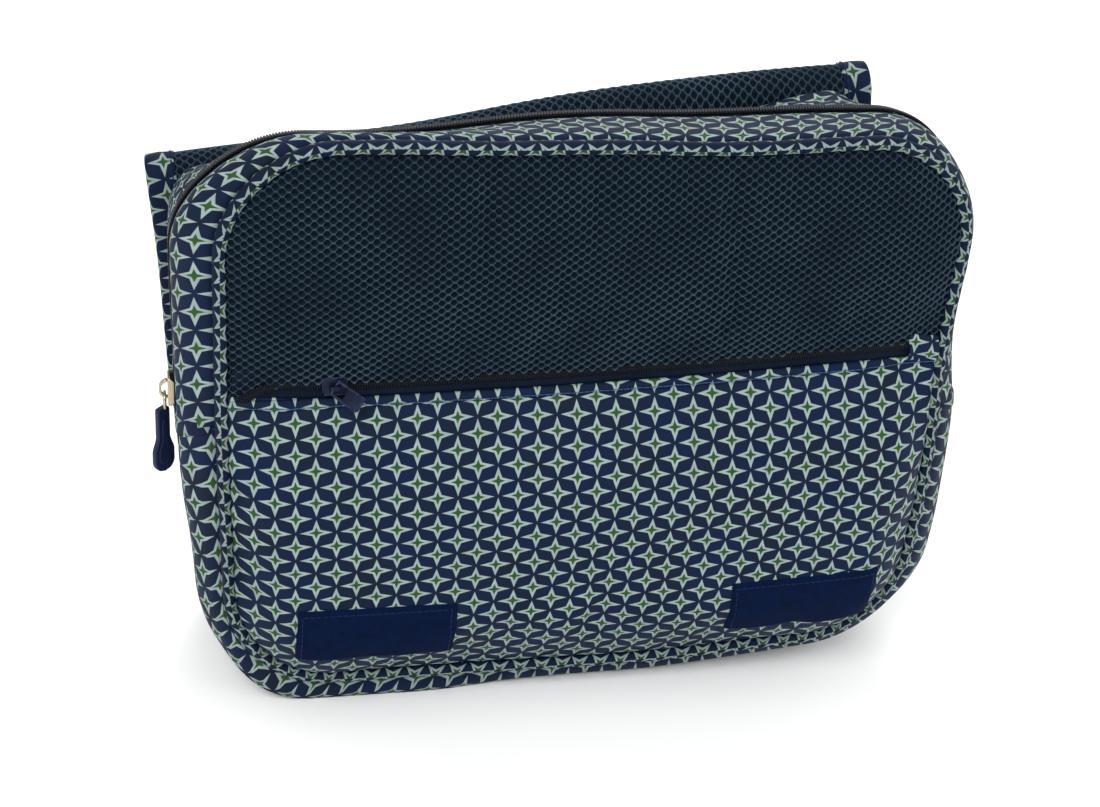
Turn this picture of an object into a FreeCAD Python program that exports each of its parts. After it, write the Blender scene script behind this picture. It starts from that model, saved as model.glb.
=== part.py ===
import FreeCAD, Part, Sketcher
import math
import os
import re

# Soft travel organizer for shoes: a zipped fabric pouch with a mesh window and an
# outside pocket, and a folded mesh panel sewn across its back.
# Frame: +X to the right seen from the front, +Y to the back, +Z up. The origin is the
# middle of the bottom, where the organizer stands. Lengths in mm, angles in degrees.

doc = FreeCAD.newDocument("shoe_organizer")

# Driving sizes
sizes = {
    "pouch_width": 366,
    "pouch_height": 283,
    "corner_radius": 57,
    "gusset_wall": 2.4,
    "front_strip": 25,        # printed band between the front seam and the zip
    "rear_strip": 30,         # printed band between the zip and the back
    "tape_half": 6,           # half of the zip's tape, from its edge to the middle
    "tape_wall": 1.0,
    "zip_recess": 0.7,        # from the gusset's outside to the tape
    "coil_half": 3,           # half of the chain's width
    "coil_wall": 1.6,
    "back_wall": 2.2,
    "piping_radius": 3.25,
    "seam_gap": 0.3,          # between pieces on bodies that move apart
    "join_drop": 21.5,        # from the pocket's edge down to where the zip starts
    "join_height": 8,
    "join_wall": 1.2,
    "binding_width": 8,
    "binding_wall": 0.8,
    "face_step": 1,           # from the front seam to the back of the face
    "face_gap": 0.3,          # between the face's edge and the piping
    "face_wall": 1.5,
    "window_crown": 9,        # how far the mesh window bulges
    "panel_crown": 22,        # how far the filled pocket bulges
    "crown_round": 7.5,       # rounding of the mesh window's bulge
    "panel_round": 18,
    "lining_wall": 0.9,
    "window_drop": 114,       # from the pouch's top to the pocket's edge, in the middle
    "pocket_slope": 2.1,      # the pocket's edge rises to the right
    "pocket_tape": 7,         # from the pocket's edge to the middle of its chain
    "zip_step": 2,            # from the back of the face to the pocket zip's tape
    "tape_end_gap": 0.6,
    "tape_edge_gap": 0.1,
    "fold_rise": 12.5,        # from the pocket's edge to the flap's fold
    "end_tab_length": 17,
    "end_tab_wall": 1,
    "pocket_slider_x": -115.6,
    "pocket_slider_length": 11,
    "pocket_slider_half": 4.6,
    "plate_wall": 1.4,
    "running_gap": 0.4,
    "bridge_height": 2.8,
    "bridge_half": 2.8,       # half of the bridge's length
    "bridge_wall": 1,
    "pull_length": 14,
    "pull_width": 8,
    "pull_wall": 1.2,
    "pull_bar": 1,            # thickness of the bar held by the bridge
    "pull_arm": 1.4,          # width of each arm beside the bridge
    "pull_reach": 5,          # from the bar's middle to the leaf
    "pull_turn": 28,          # how far the pull points below the chain's line
    "pull_run": 24,           # the filled pocket's slope under the pull: its run,
    "pull_low": 7,            # and the level where it starts
    "patch_length": 72,
    "patch_height": 30.5,
    "patch_wall": 1.4,
    "patch_left_x": -97,
    "patch_right_x": 104.5,
    "patch_level": 54,
    "main_slider_rise": 10,   # from the zip's start to the middle of its slider
    "main_slider_length": 15,
    "slider_flange": 1.2,
    "arch_height": 3.9,       # the arch that holds the link, above the plate
    "arch_half": 5,
    "arch_wall": 1.1,
    "pivot_out": 1.4,         # from the plate to the link's pivot
    "pivot_drop": 2.4,        # from the slider's middle down to the pivot
    "link_length": 10,
    "link_radius": 0.9,
    "link_half": 3.2,
    "rubber_length": 33,
    "rubber_width": 11,
    "rubber_wall": 3.4,
    "neck_half": 4,           # half of the tab's narrow end
    "panel_width": 332,
    "hem_clearance": 3,       # from the floor to the panel's lowest corner
    "panel_mesh": 2.5,
    "fold_radius": 10,
    "side_binding": 14,
    "side_wall": 0.9,
    "hem_height": 10,
    "panel_skew": 5.9,
    "panel_x": -26,
    "panel_drop": 27.3,       # from the pouch's top to the fold's axis
    "panel_stand_off": 0.9,
    "anchor_height": 15,
    "anchor_length": 290,
    "anchor_level": 22,
    "hook_level": 32,         # from the hem to the middle of a hook patch
    "hook_x": 108,
}

sheet = doc.addObject("Spreadsheet::Sheet", "size")
for row, (name, number) in enumerate(sizes.items(), start=1):
    sheet.set(f"A{row}", name)
    sheet.set(f"B{row}", str(number))
    sheet.setAlias(f"B{row}", name)
doc.recompute()


def formula(text):
    """The expression with every driving size written as a cell of the sheet."""
    return re.sub(r"[a-z_]+", lambda m: "size." + m.group() if m.group() in sizes else m.group(), str(text))


def bind(obj, prop, text):
    obj.setExpression(prop, formula(text))


def number(text):
    found = sheet.evalExpression(formula(text))
    return float(getattr(found, "Value", found))


# Planes and levels
seam_front = "(-(front_strip + 2 * tape_half + rear_strip) / 2)"
zip_start = f"({seam_front} + front_strip)"
zip_middle = f"({zip_start} + tape_half)"
zip_end = f"({zip_middle} + tape_half)"
seam_rear = f"({zip_end} + rear_strip)"
back_face = f"({seam_rear} + back_wall)"
pocket_level = "(pouch_height - window_drop)"
join_level = f"({pocket_level} - join_drop)"
panel_level = "(pouch_height - panel_drop)"
skew = "(panel_skew * 1 deg)"
panel_length = f"(({panel_level} - panel_width / 2 * sin{skew} - hem_clearance) / cos{skew})"
face_rear = f"({seam_front} - face_step)"
face_inset = "(2 * piping_radius + face_gap)"
tape_face = f"({face_rear} - zip_step)"         # front of the pocket zip's tape
coil_face = f"({tape_face} - coil_wall)"
panel_face = f"({face_rear} - panel_crown + face_step)"
panel_front = f"({back_face} + panel_stand_off)"
fold_middle = f"({panel_front} + fold_radius)"
far = 400                                      # beyond every side of the pouch

frames = {
    "pouch": None,
    "pocket": ("0", "0", pocket_level, "-pocket_slope"),
    "panel": ("panel_x", "0", panel_level, "-panel_skew"),
}


def place(obj, frame):
    """Puts an object in one of the frames: a shift, then a turn about +Y."""
    if frames[frame] is None:
        return
    x, y, z, turn = frames[frame]
    obj.Placement = FreeCAD.Placement(FreeCAD.Vector(), FreeCAD.Rotation(FreeCAD.Vector(0, 1, 0), 1))
    bind(obj, "Placement.Base.x", x)
    bind(obj, "Placement.Base.y", y)
    bind(obj, "Placement.Base.z", z)
    bind(obj, "Placement.Rotation.Angle", f"({turn}) * 1 deg")


def new_body(name, frame="pouch"):
    body = doc.addObject("PartDesign::Body", name)
    body.Label = name
    place(body, frame)
    return body


def box_in(body, kind, spans):
    """A box feature over three spans, each a pair of formulas."""
    box = body.newObject("PartDesign::" + kind, kind)
    for side, axis, (low, high) in zip(("Length", "Width", "Height"), "xyz", spans):
        bind(box, side, f"({high}) - ({low})")
        bind(box, f"Placement.Base.{axis}", low)
    return box


def block(name, x, y, z, frame="pouch"):
    body = new_body(name, frame)
    box_in(body, "AdditiveBox", (x, y, z))
    return body


def sketch_on(body, role, offset):
    """A sketch on one of the body's own planes, moved by three formulas."""
    sketch = body.newObject("Sketcher::SketchObject", "Sketch")
    plane = [one for one in body.Origin.OriginFeatures if one.Role == role][0]
    sketch.AttachmentSupport = [(plane, "")]
    sketch.MapMode = "FlatFace"
    for axis, text in zip("xyz", offset):
        bind(sketch, f"AttachmentOffset.Base.{axis}", text)
    return sketch


def dimension(sketch, kind, *where, text):
    """A constraint whose size is bound to a formula."""
    index = sketch.addConstraint(Sketcher.Constraint(kind, *where, number(text)))
    bind(sketch, f"Constraints[{index}]", text)


def rounded_rectangle(sketch, half_width, half_height, radius):
    """Four lines and four arcs round the sketch's origin, clockwise from the top."""
    w, v, r = number(half_width), number(half_height), number(radius)
    vector, pi = FreeCAD.Vector, math.pi
    first = sketch.GeometryCount
    ends = [
        (vector(-w + r, v), vector(w - r, v)),
        (vector(w, v - r), vector(w, -v + r)),
        (vector(w - r, -v), vector(-w + r, -v)),
        (vector(-w, -v + r), vector(-w, v - r)),
    ]
    centres = [vector(w - r, v - r), vector(w - r, -v + r), vector(-w + r, -v + r), vector(-w + r, v - r)]
    for side in range(4):
        sketch.addGeometry(Part.LineSegment(*ends[side]), False)
        start = (0.5 - 0.5 * (side + 1)) * pi
        circle = Part.Circle(centres[side], vector(0, 0, 1), r)
        sketch.addGeometry(Part.ArcOfCircle(circle, start, start + pi / 2), False)
    for side in range(4):
        line, arc = first + 2 * side, first + 2 * side + 1
        following = first + 2 * ((side + 1) % 4)
        sketch.addConstraint(Sketcher.Constraint("Tangent", line, 2, arc, 2))
        sketch.addConstraint(Sketcher.Constraint("Tangent", arc, 1, following, 1))
        sketch.addConstraint(Sketcher.Constraint("Vertical" if side % 2 else "Horizontal", line))
        if side:
            sketch.addConstraint(Sketcher.Constraint("Equal", first + 1, arc))
    dimension(sketch, "Radius", first + 1, text=radius)
    dimension(sketch, "DistanceX", -1, 1, first + 2, 1, text=half_width)
    dimension(sketch, "DistanceX", first + 6, 1, -1, 1, text=half_width)
    dimension(sketch, "DistanceY", -1, 1, first, 1, text=half_height)
    dimension(sketch, "DistanceY", first + 4, 1, -1, 1, text=half_height)


def outline(sketch, inset):
    """The pouch's outline, moved inwards."""
    rounded_rectangle(
        sketch,
        f"pouch_width / 2 - ({inset})",
        f"pouch_height / 2 - ({inset})",
        f"corner_radius - ({inset})",
    )


def pad(body, sketch, length, towards_back=True):
    """Pads a sketch that lies on the XZ plane, whose normal is -Y."""
    feature = body.newObject("PartDesign::Pad", "Pad")
    feature.Profile = sketch
    feature.Reversed = towards_back
    bind(feature, "Length", length)
    return feature


def slab(name, inset, y, hollow=None):
    """A plate of the pouch's outline, or a ring where a second inset is given."""
    low, high = y
    body = new_body(name)
    sketch = sketch_on(body, "XZ_Plane", ("0", "pouch_height / 2", f"-({low})"))
    outline(sketch, inset)
    if hollow is not None:
        outline(sketch, hollow)
    pad(body, sketch, f"({high}) - ({low})")
    return body


def common(name, shape, space):
    """The part of a shape that lies in a space."""
    both = doc.addObject("Part::MultiCommon", name)
    both.Shapes = [shape, space]
    both.Label = name
    return both


def joined(name, shapes):
    fused = doc.addObject("Part::MultiFuse", name)
    fused.Shapes = shapes
    fused.Refine = True
    fused.Label = name
    return fused


# Spaces that divide the rings
wide = (f"{-far}", f"{far}")
above_fold = block("above_fold", wide, wide, ("fold_rise + seam_gap / 2", f"{far}"), "pocket")
below_fold = block("below_fold", wide, wide, (f"{-far}", "fold_rise - seam_gap / 2"), "pocket")
above_join = block("above_join", wide, wide, (join_level, f"{far}"))
below_join = block("below_join", wide, wide, (f"{-far}", join_level))
left_side = block("left_side", (f"{-far}", "0"), wide, (join_level, f"{far}"))
right_side = block("right_side", ("0", f"{far}"), wide, (join_level, f"{far}"))


# Pouch
def gusset():
    """The band round the pouch: one piece below the joins, two strips above them."""
    front_ring = slab("front_ring", "0", (seam_front, zip_start), "gusset_wall")
    rear_ring = slab("rear_ring", "0", (zip_end, seam_rear), "gusset_wall")
    full_ring = slab("full_ring", "0", (zip_start, seam_rear), "gusset_wall")
    front_low = common("front_low", front_ring, below_fold)
    rear_low = common("rear_low", full_ring, below_join)
    return [
        common("front_gusset_strip", front_ring, above_fold),
        common("rear_gusset_strip", rear_ring, above_join),
        joined("lower_gusset", [front_low, rear_low]),
    ]


def gusset_zip():
    """Tapes and coils; the front half opens with the flap above its fold."""
    tape_inset, tape_inner = "zip_recess", "zip_recess + tape_wall"
    coil_inset = "zip_recess - coil_wall"
    front_edge = f"{zip_middle} - seam_gap / 2"
    front_tape = slab("front_tape", tape_inset, (zip_start, front_edge), tape_inner)
    front_coil = slab("front_coil", coil_inset, (f"{zip_middle} - coil_half", front_edge), tape_inset)
    rear_tape = slab("rear_tape", tape_inset, (f"{zip_middle} + seam_gap / 2", zip_end), tape_inner)
    rear_span = (f"{zip_middle} + seam_gap / 2", f"{zip_middle} + coil_half")
    rear_coil = slab("rear_coil", coil_inset, rear_span, tape_inset)
    parts = [
        common("gusset_zip_front_tape", front_tape, above_fold),
        common("gusset_zip_front_coil", front_coil, above_fold),
        common("gusset_zip_rear_tape", rear_tape, above_join),
        common("gusset_zip_rear_coil", rear_coil, above_join),
    ]
    front_half = joined("front_half", [front_tape, front_coil])
    start = common("zip_start_pair", front_half, below_fold)
    for name, side in (("gusset_zip_start_left", left_side), ("gusset_zip_start_right", right_side)):
        parts.append(common(name, start, side))
    return parts


def gusset_joins():
    """The folded, topstitched edge of the lower gusset where the zip starts."""
    parts = []
    for name, low, high in (
        ("gusset_join_left", "-pouch_width / 2 - join_wall", "-pouch_width / 2"),
        ("gusset_join_right", "pouch_width / 2", "pouch_width / 2 + join_wall"),
    ):
        height = (f"{join_level} - join_height", join_level)
        parts.append(block(name, (low, high), (seam_front, seam_rear), height))
    return parts


def piping():
    """A corded tube round the front, cut where the flap folds."""
    ring = new_body("piping_ring")
    middle = f"({seam_front} - piping_radius)"
    path = sketch_on(ring, "XZ_Plane", ("0", "pouch_height / 2", f"-{middle}"))
    outline(path, "piping_radius")
    profile = sketch_on(
        ring, "YZ_Plane", (middle, "pouch_height - piping_radius", "corner_radius - pouch_width / 2")
    )
    circle = Part.Circle(FreeCAD.Vector(), FreeCAD.Vector(0, 0, 1), number("piping_radius"))
    profile.addGeometry(circle, False)
    profile.addConstraint(Sketcher.Constraint("Coincident", 0, 3, -1, 1))
    dimension(profile, "Radius", 0, text="piping_radius")
    pipe = ring.newObject("PartDesign::AdditivePipe", "Pipe")
    pipe.Profile = (profile, [""])
    pipe.Spine = (path, [f"Edge{edge}" for edge in range(1, 9)])
    return [
        common("front_piping_upper", ring, above_fold),
        common("front_piping_lower", ring, below_fold),
    ]


def back():
    """The back panel and the tape that binds its raw seam inside."""
    inner = "gusset_wall + binding_wall"
    span = (f"{seam_front} + face_step", f"{seam_front} + face_step + binding_width")
    front_binding = slab("front_binding", "gusset_wall", span, inner)
    return [
        slab("back_panel", "0", (seam_rear, back_face)),
        slab("rear_seam_binding", "gusset_wall", (f"{seam_rear} - binding_width", seam_rear), inner),
        common("front_seam_binding_upper", front_binding, above_fold),
        common("front_seam_binding_lower", front_binding, below_fold),
    ]


# Front face
def face_by(shape, sign):
    """The name of the flat face furthest along -Y (sign -1) or +Y (sign 1)."""
    flat = [
        (sign * face.CenterOfMass.y, f"Face{index}")
        for index, face in enumerate(shape.Faces, start=1)
        if abs(abs(face.normalAt(0, 0).y) - 1) < 1e-6
    ]
    return max(flat)[1]


def sloped_outline(sketch, inset, edge, upper):
    """Part of the face's outline, above or below a line that slopes like the pocket."""
    w = number(f"pouch_width / 2 - {inset}")
    v = number(f"pouch_height / 2 - {inset}")
    r = number(f"corner_radius - {inset}")
    line = number(f"{edge} - pouch_height / 2")
    rise = number("tan(pocket_slope * 1 deg)")
    side = 1 if upper else -1
    vector, pi = FreeCAD.Vector, math.pi
    left, right = vector(-w, line - w * rise), vector(w, line + w * rise)
    sketch.addGeometry(Part.LineSegment(left, right), False)
    sketch.addGeometry(Part.LineSegment(right, vector(w, side * (v - r))), False)
    middle = Part.Circle(vector(w - r, side * (v - r)), vector(0, 0, 1), r)
    sketch.addGeometry(Part.ArcOfCircle(middle, *((0, pi / 2) if upper else (-pi / 2, 0))), False)
    sketch.addGeometry(Part.LineSegment(vector(w - r, side * v), vector(-w + r, side * v)), False)
    middle = Part.Circle(vector(-w + r, side * (v - r)), vector(0, 0, 1), r)
    sketch.addGeometry(Part.ArcOfCircle(middle, *((pi / 2, pi) if upper else (-pi, -pi / 2))), False)
    sketch.addGeometry(Part.LineSegment(vector(-w, side * (v - r)), left), False)
    near, away = (1, 2) if upper else (2, 1)
    for constraint in (
        ("Coincident", 0, 2, 1, 1),
        ("Tangent", 1, 2, 2, near),
        ("Tangent", 2, away, 3, 1),
        ("Tangent", 3, 2, 4, near),
        ("Tangent", 4, away, 5, 1),
        ("Coincident", 5, 2, 0, 1),
        ("Vertical", 1),
        ("Horizontal", 3),
        ("Vertical", 5),
        ("Equal", 2, 4),
    ):
        sketch.addConstraint(Sketcher.Constraint(*constraint))
    dimension(sketch, "Radius", 2, text=f"corner_radius - {inset}")
    dimension(sketch, "DistanceX", -1, 1, 1, 1, text=f"pouch_width / 2 - {inset}")
    dimension(sketch, "DistanceX", 5, 1, -1, 1, text=f"pouch_width / 2 - {inset}")
    ends = (-1, 1, 3, 1) if upper else (3, 1, -1, 1)
    dimension(sketch, "DistanceY", *ends, text=f"pouch_height / 2 - {inset}")
    half = f"(pouch_width / 2 - {inset})"
    dimension(sketch, "DistanceY", 0, 1, 0, 2, text=f"2 * {half} * tan(pocket_slope * 1 deg)")
    end = (0, 2, -1, 1) if line + w * rise < 0 else (-1, 1, 0, 2)
    sign = "-" if end[0] == 0 else ""
    dimension(
        sketch,
        "DistanceY",
        *end,
        text=f"{sign}({edge} - pouch_height / 2 + {half} * tan(pocket_slope * 1 deg))",
    )


def crowned_pan(name, inset, edge, upper, rear, depth, rounding, wall):
    """A shallow pan open to the back: the bulge of a filled fabric face."""
    body = new_body(name)
    sketch = sketch_on(body, "XZ_Plane", ("0", "pouch_height / 2", f"-({rear})"))
    sloped_outline(sketch, inset, edge, upper)
    solid = pad(body, sketch, depth, towards_back=False)
    doc.recompute()
    fillet = body.newObject("PartDesign::Fillet", "Fillet")
    fillet.Base = (solid, [face_by(solid.Shape, -1)])
    bind(fillet, "Radius", rounding)
    doc.recompute()
    shell = body.newObject("PartDesign::Thickness", "Thickness")
    shell.Base = (fillet, [face_by(fillet.Shape, 1)])
    shell.Reversed = True
    bind(shell, "Value", wall)
    doc.recompute()
    return body


def front_face():
    fold_edge = f"{pocket_level} + (fold_rise + seam_gap / 2 + tape_edge_gap) / cos(pocket_slope * 1 deg)"
    window = crowned_pan(
        "front_mesh_window",
        face_inset,
        f"({fold_edge})",
        True,
        face_rear,
        "(window_crown - face_step)",
        "crown_round",
        "face_wall",
    )
    panel = crowned_pan(
        "front_pocket_panel",
        face_inset,
        pocket_level,
        False,
        face_rear,
        "(panel_crown - face_step)",
        "panel_round",
        "face_wall",
    )
    lining = crowned_pan(
        "pocket_lining",
        f"({face_inset} + face_wall)",
        f"({pocket_level} - face_wall / cos(pocket_slope * 1 deg))",
        False,
        face_rear,
        "(panel_crown - face_step - face_wall)",
        "(panel_round - face_wall)",
        "lining_wall",
    )
    return [window, panel, lining]


def pocket_zip():
    """The pocket's zip, in the frame that slopes with the pocket's edge."""
    half = f"(pouch_width / 2 - {face_inset} - tape_end_gap)"
    along = (f"-{half}", half)
    tape = (tape_face, f"{tape_face} + tape_wall")
    coil = (coil_face, tape_face)
    tab = (f"{coil_face} - end_tab_wall", coil_face)
    centre = "pocket_tape"
    return [
        block("pocket_zip_lower_tape", along, tape, ("tape_edge_gap", centre), "pocket"),
        block("pocket_zip_upper_tape", along, tape, (centre, "fold_rise - seam_gap / 2"), "pocket"),
        block("pocket_zip_coil", along, coil, (f"{centre} - coil_half", f"{centre} + coil_half"), "pocket"),
        block(
            "pocket_zip_end_tab",
            (f"{half} - end_tab_length", half),
            tab,
            (f"{centre} - coil_half", f"{centre} + coil_half + end_tab_wall"),
            "pocket",
        ),
    ]


def pocket_slider():
    """A channel over the chain with a bridge on top, and the pull held by the bridge."""
    x, centre, half = "pocket_slider_x", "pocket_tape", "pocket_slider_half"
    top = f"({coil_face} - running_gap - plate_wall)"
    slider = block(
        "pocket_zip_slider",
        (f"{x} - pocket_slider_length / 2", f"{x} + pocket_slider_length / 2"),
        (top, f"{tape_face} - running_gap"),
        (f"{centre} - {half}", f"{centre} + {half}"),
        "pocket",
    )
    hollow = "(coil_half + running_gap)"
    box_in(
        slider,
        "SubtractiveBox",
        (
            (f"{x} - pocket_slider_length", f"{x} + pocket_slider_length"),
            (f"{coil_face} - running_gap", tape_face),
            (f"{centre} - {hollow}", f"{centre} + {hollow}"),
        ),
    )
    bridge = f"({top} - bridge_height)"
    beam = (f"{centre} - bridge_wall", f"{centre} + bridge_wall")
    box_in(slider, "AdditiveBox", ((f"{x} - bridge_half", f"{x} + bridge_half"), (bridge, top), beam))
    opening = "(bridge_half - bridge_wall)"
    box_in(
        slider,
        "SubtractiveBox",
        (
            (f"{x} - {opening}", f"{x} + {opening}"),
            (f"{bridge} + bridge_wall", top),
            (f"{centre} - 2 * bridge_wall", f"{centre} + 2 * bridge_wall"),
        ),
    )
    return [slider, pocket_pull(f"({top} - (bridge_height - bridge_wall) / 2)")]


def pocket_pull(hinge_y):
    """A flat pull whose bar runs through the slider's bridge, lifted off the filled pocket."""
    pull = new_body("pocket_zip_pull")
    slope = "(pocket_slope * 1 deg)"
    x = f"pocket_slider_x * cos{slope} - pocket_tape * sin{slope}"
    z = f"{pocket_level} + pocket_slider_x * sin{slope} + pocket_tape * cos{slope}"
    lift = "atan((panel_crown - pull_low) / pull_run)"
    turned = f"rotation(vector(0; 1; 0); pull_turn) * rotation(vector(0; 0; 1); -{lift})"
    bind(pull, "Placement", f"placement(vector({x}; {hinge_y}; {z}); {turned})")
    wall = ("-pull_wall / 2", "pull_wall / 2")
    edge, arm = "pull_width / 2", "(pull_width / 2 - pull_arm)"
    bar = ("-pull_bar / 2", "pull_bar / 2")
    box_in(pull, "AdditiveBox", (bar, bar, (f"-{edge}", edge)))
    for span in ((f"-{edge}", f"-{arm}"), (arm, edge)):
        box_in(pull, "AdditiveBox", (("-pull_bar / 2", "pull_reach + pull_bar / 2"), wall, span))
    box_in(pull, "AdditiveBox", (("pull_reach", "pull_length"), wall, (f"-{edge}", edge)))
    return pull


def loop_patches():
    """Two loop patches near the pocket's lower corners."""
    face = (f"{panel_face} - patch_wall", panel_face)
    height = ("patch_level - patch_height / 2", "patch_level + patch_height / 2")
    return [
        block(name, (f"{x} - patch_length / 2", f"{x} + patch_length / 2"), face, height)
        for name, x in (("loop_patch_left", "patch_left_x"), ("loop_patch_right", "patch_right_x"))
    ]


# Main slider and its pull
def main_slider():
    """The slider of the big zip, its wire link and the moulded tab, on the left side."""
    tape = "(-pouch_width / 2 + zip_recess)"
    outer = f"({tape} - coil_wall)"       # outside of the chain
    base = f"({outer} - running_gap)"
    top = f"({base} - plate_wall)"
    z, half = f"({join_level} + main_slider_rise)", "(coil_half + running_gap)"
    ends = (f"{z} - main_slider_length / 2", f"{z} + main_slider_length / 2")
    slider = block(
        "gusset_zip_slider",
        (top, f"{tape} - running_gap"),
        (f"{zip_middle} - {half} - slider_flange", f"{zip_middle} + {half} + slider_flange"),
        ends,
    )
    box_in(
        slider,
        "SubtractiveBox",
        (
            (base, f"{tape} + tape_wall"),
            (f"{zip_middle} - {half}", f"{zip_middle} + {half}"),
            (f"{z} - main_slider_length", f"{z} + main_slider_length"),
        ),
    )
    arch = f"({top} - arch_height)"
    cheek = (f"{zip_middle} - arch_wall", f"{zip_middle} + arch_wall")
    box_in(slider, "AdditiveBox", ((arch, top), cheek, (f"{z} - arch_half", f"{z} + arch_half")))
    box_in(
        slider,
        "SubtractiveBox",
        (
            (f"{arch} + arch_wall", top),
            (f"{zip_middle} - 2 * arch_wall", f"{zip_middle} + 2 * arch_wall"),
            (f"{z} - arch_half + arch_wall", f"{z} + arch_half - arch_wall"),
        ),
    )
    pivot_x, pivot_z = f"({top} - pivot_out)", f"({z} - pivot_drop)"
    link = new_body("gusset_pull_link")
    for low_y in (f"{zip_middle} - link_half - link_radius", f"{zip_middle} + link_half - link_radius"):
        box_in(
            link,
            "AdditiveBox",
            (
                (f"{pivot_x} - link_radius", f"{pivot_x} + link_radius"),
                (low_y, f"{low_y} + 2 * link_radius"),
                (f"{pivot_z} - link_length", f"{pivot_z} + link_radius"),
            ),
        )
    for low_z in (f"{pivot_z} - link_radius", f"{pivot_z} - link_length"):
        box_in(
            link,
            "AdditiveBox",
            (
                (f"{pivot_x} - link_radius", f"{pivot_x} + link_radius"),
                (f"{zip_middle} - link_half", f"{zip_middle} + link_half"),
                (low_z, f"{low_z} + 2 * link_radius"),
            ),
        )
    return [slider, link, rubber_tab(pivot_x, pivot_z)]


def rubber_tab(pivot_x, pivot_z):
    """A moulded tab, narrow at the link and wide and round at its end."""
    tab = new_body("gusset_pull_tab")
    rise = f"({pivot_z} - link_length)"
    spans = (f"{pivot_x} - rubber_wall / 2", f"{pivot_x} + rubber_wall / 2")
    box_in(
        tab,
        "AdditiveBox",
        (
            spans,
            (f"{zip_middle} - neck_half", f"{zip_middle} + neck_half"),
            (f"{rise} - rubber_length + rubber_width / 2", rise),
        ),
    )
    end = tab.newObject("PartDesign::AdditiveCylinder", "End")
    bind(end, "Radius", "rubber_width / 2")
    bind(end, "Height", "rubber_wall")
    end.Placement = FreeCAD.Placement(FreeCAD.Vector(), FreeCAD.Rotation(FreeCAD.Vector(0, 1, 0), 90))
    bind(end, "Placement.Base.x", spans[0])
    bind(end, "Placement.Base.y", zip_middle)
    bind(end, "Placement.Base.z", f"{rise} - rubber_length + rubber_width / 2")
    return tab


# Folded mesh panel
def leaf(name, y):
    half = "(panel_width / 2 - side_wall)"
    return block(name, (f"-{half}", half), y, (f"-{panel_length} + side_wall", "0"), "panel")


def channel(name, x, y, z, slot):
    """A folded binding: a block with a slot that holds the mesh's edge."""
    body = block(name, x, y, z, "panel")
    box_in(body, "SubtractiveBox", slot)
    return body


def leaf_bindings(stem, y):
    """Side bindings left and right, and the hem between them."""
    low, high = y
    outer = (f"{low} - side_wall", f"{high} + side_wall")
    edge, inner = "panel_width / 2", "(panel_width / 2 - side_binding)"
    mesh_edge = "(panel_width / 2 - side_wall)"
    length = (f"-{panel_length}", "0")
    slot_z = (f"-{panel_length} + side_wall", "1")
    return [
        channel(
            stem + "_binding_left",
            (f"-{edge}", f"-{inner}"),
            outer,
            length,
            ((f"-{mesh_edge}", "0"), y, slot_z),
        ),
        channel(
            stem + "_binding_right",
            (inner, edge),
            outer,
            length,
            (("0", mesh_edge), y, slot_z),
        ),
        channel(
            stem + "_hem",
            (f"-{inner}", inner),
            outer,
            (f"-{panel_length}", f"-{panel_length} + hem_height"),
            (wide, y, (f"-{panel_length} + side_wall", f"{far}")),
        ),
    ]


def half_ring(name, x, inner, outer):
    """Half of a tube over the fold's axis."""
    body = new_body(name, "panel")
    low, high = x
    across = FreeCAD.Rotation(FreeCAD.Vector(1, 1, 1), 120)
    for kind, radius in (("AdditiveCylinder", outer), ("SubtractiveCylinder", inner)):
        tube = body.newObject("PartDesign::" + kind, kind)
        bind(tube, "Radius", radius)
        bind(tube, "Height", f"({high}) - ({low})")
        tube.Angle = 180 if kind == "AdditiveCylinder" else 360
        tube.Placement = FreeCAD.Placement(FreeCAD.Vector(), across)
        bind(tube, "Placement.Base.x", low)
        bind(tube, "Placement.Base.y", fold_middle)
    return body


def folded_panel():
    front = (panel_front, f"{panel_front} + panel_mesh")
    rear = (f"{fold_middle} + fold_radius - panel_mesh", f"{fold_middle} + fold_radius")
    parts = [leaf("panel_front_leaf", front), leaf("panel_rear_leaf", rear)]
    parts += leaf_bindings("front_leaf", front)
    parts += leaf_bindings("rear_leaf", rear)
    inner, edge = "(panel_width / 2 - side_binding)", "panel_width / 2"
    core, skin = "(fold_radius - panel_mesh)", "fold_radius"
    parts.append(half_ring("panel_fold", (f"-{inner}", inner), core, skin))
    thick = (f"({core} - side_wall)", f"({skin} + side_wall)")
    parts.append(half_ring("fold_binding_left", (f"-{edge}", f"-{inner}"), *thick))
    parts.append(half_ring("fold_binding_right", (inner, edge), *thick))
    return parts


def panel_fixings():
    """The tape that sews the front leaf to the back, and the hook patches near the hem."""
    parts = [
        block(
            "panel_anchor_tape",
            ("-anchor_length / 2", "anchor_length / 2"),
            (back_face, panel_front),
            (f"-{panel_length} + anchor_level", f"-{panel_length} + anchor_level + anchor_height"),
            "panel",
        )
    ]
    outside = f"({fold_middle} + fold_radius)"
    middle = f"(hook_level - {panel_length})"
    height = (f"{middle} - patch_height / 2", f"{middle} + patch_height / 2")
    for name, x in (("hook_patch_left", "-hook_x"), ("hook_patch_right", "hook_x")):
        across = (f"{x} - patch_length / 2", f"{x} + patch_length / 2")
        parts.append(block(name, across, (outside, f"{outside} + patch_wall"), height, "panel"))
    return parts


parts = gusset() + gusset_zip() + gusset_joins() + piping() + back() + front_face()
parts += pocket_zip() + pocket_slider() + loop_patches() + main_slider()
parts += folded_panel() + panel_fixings()

doc.recompute()
faults = [one.Name for one in doc.Objects if "Invalid" in one.State or "Error" in one.State]
faults += [one.Label for one in parts if one.Shape.isNull() or not one.Shape.isValid()]
if faults:
    raise SystemExit("failed: " + ", ".join(faults))

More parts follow.
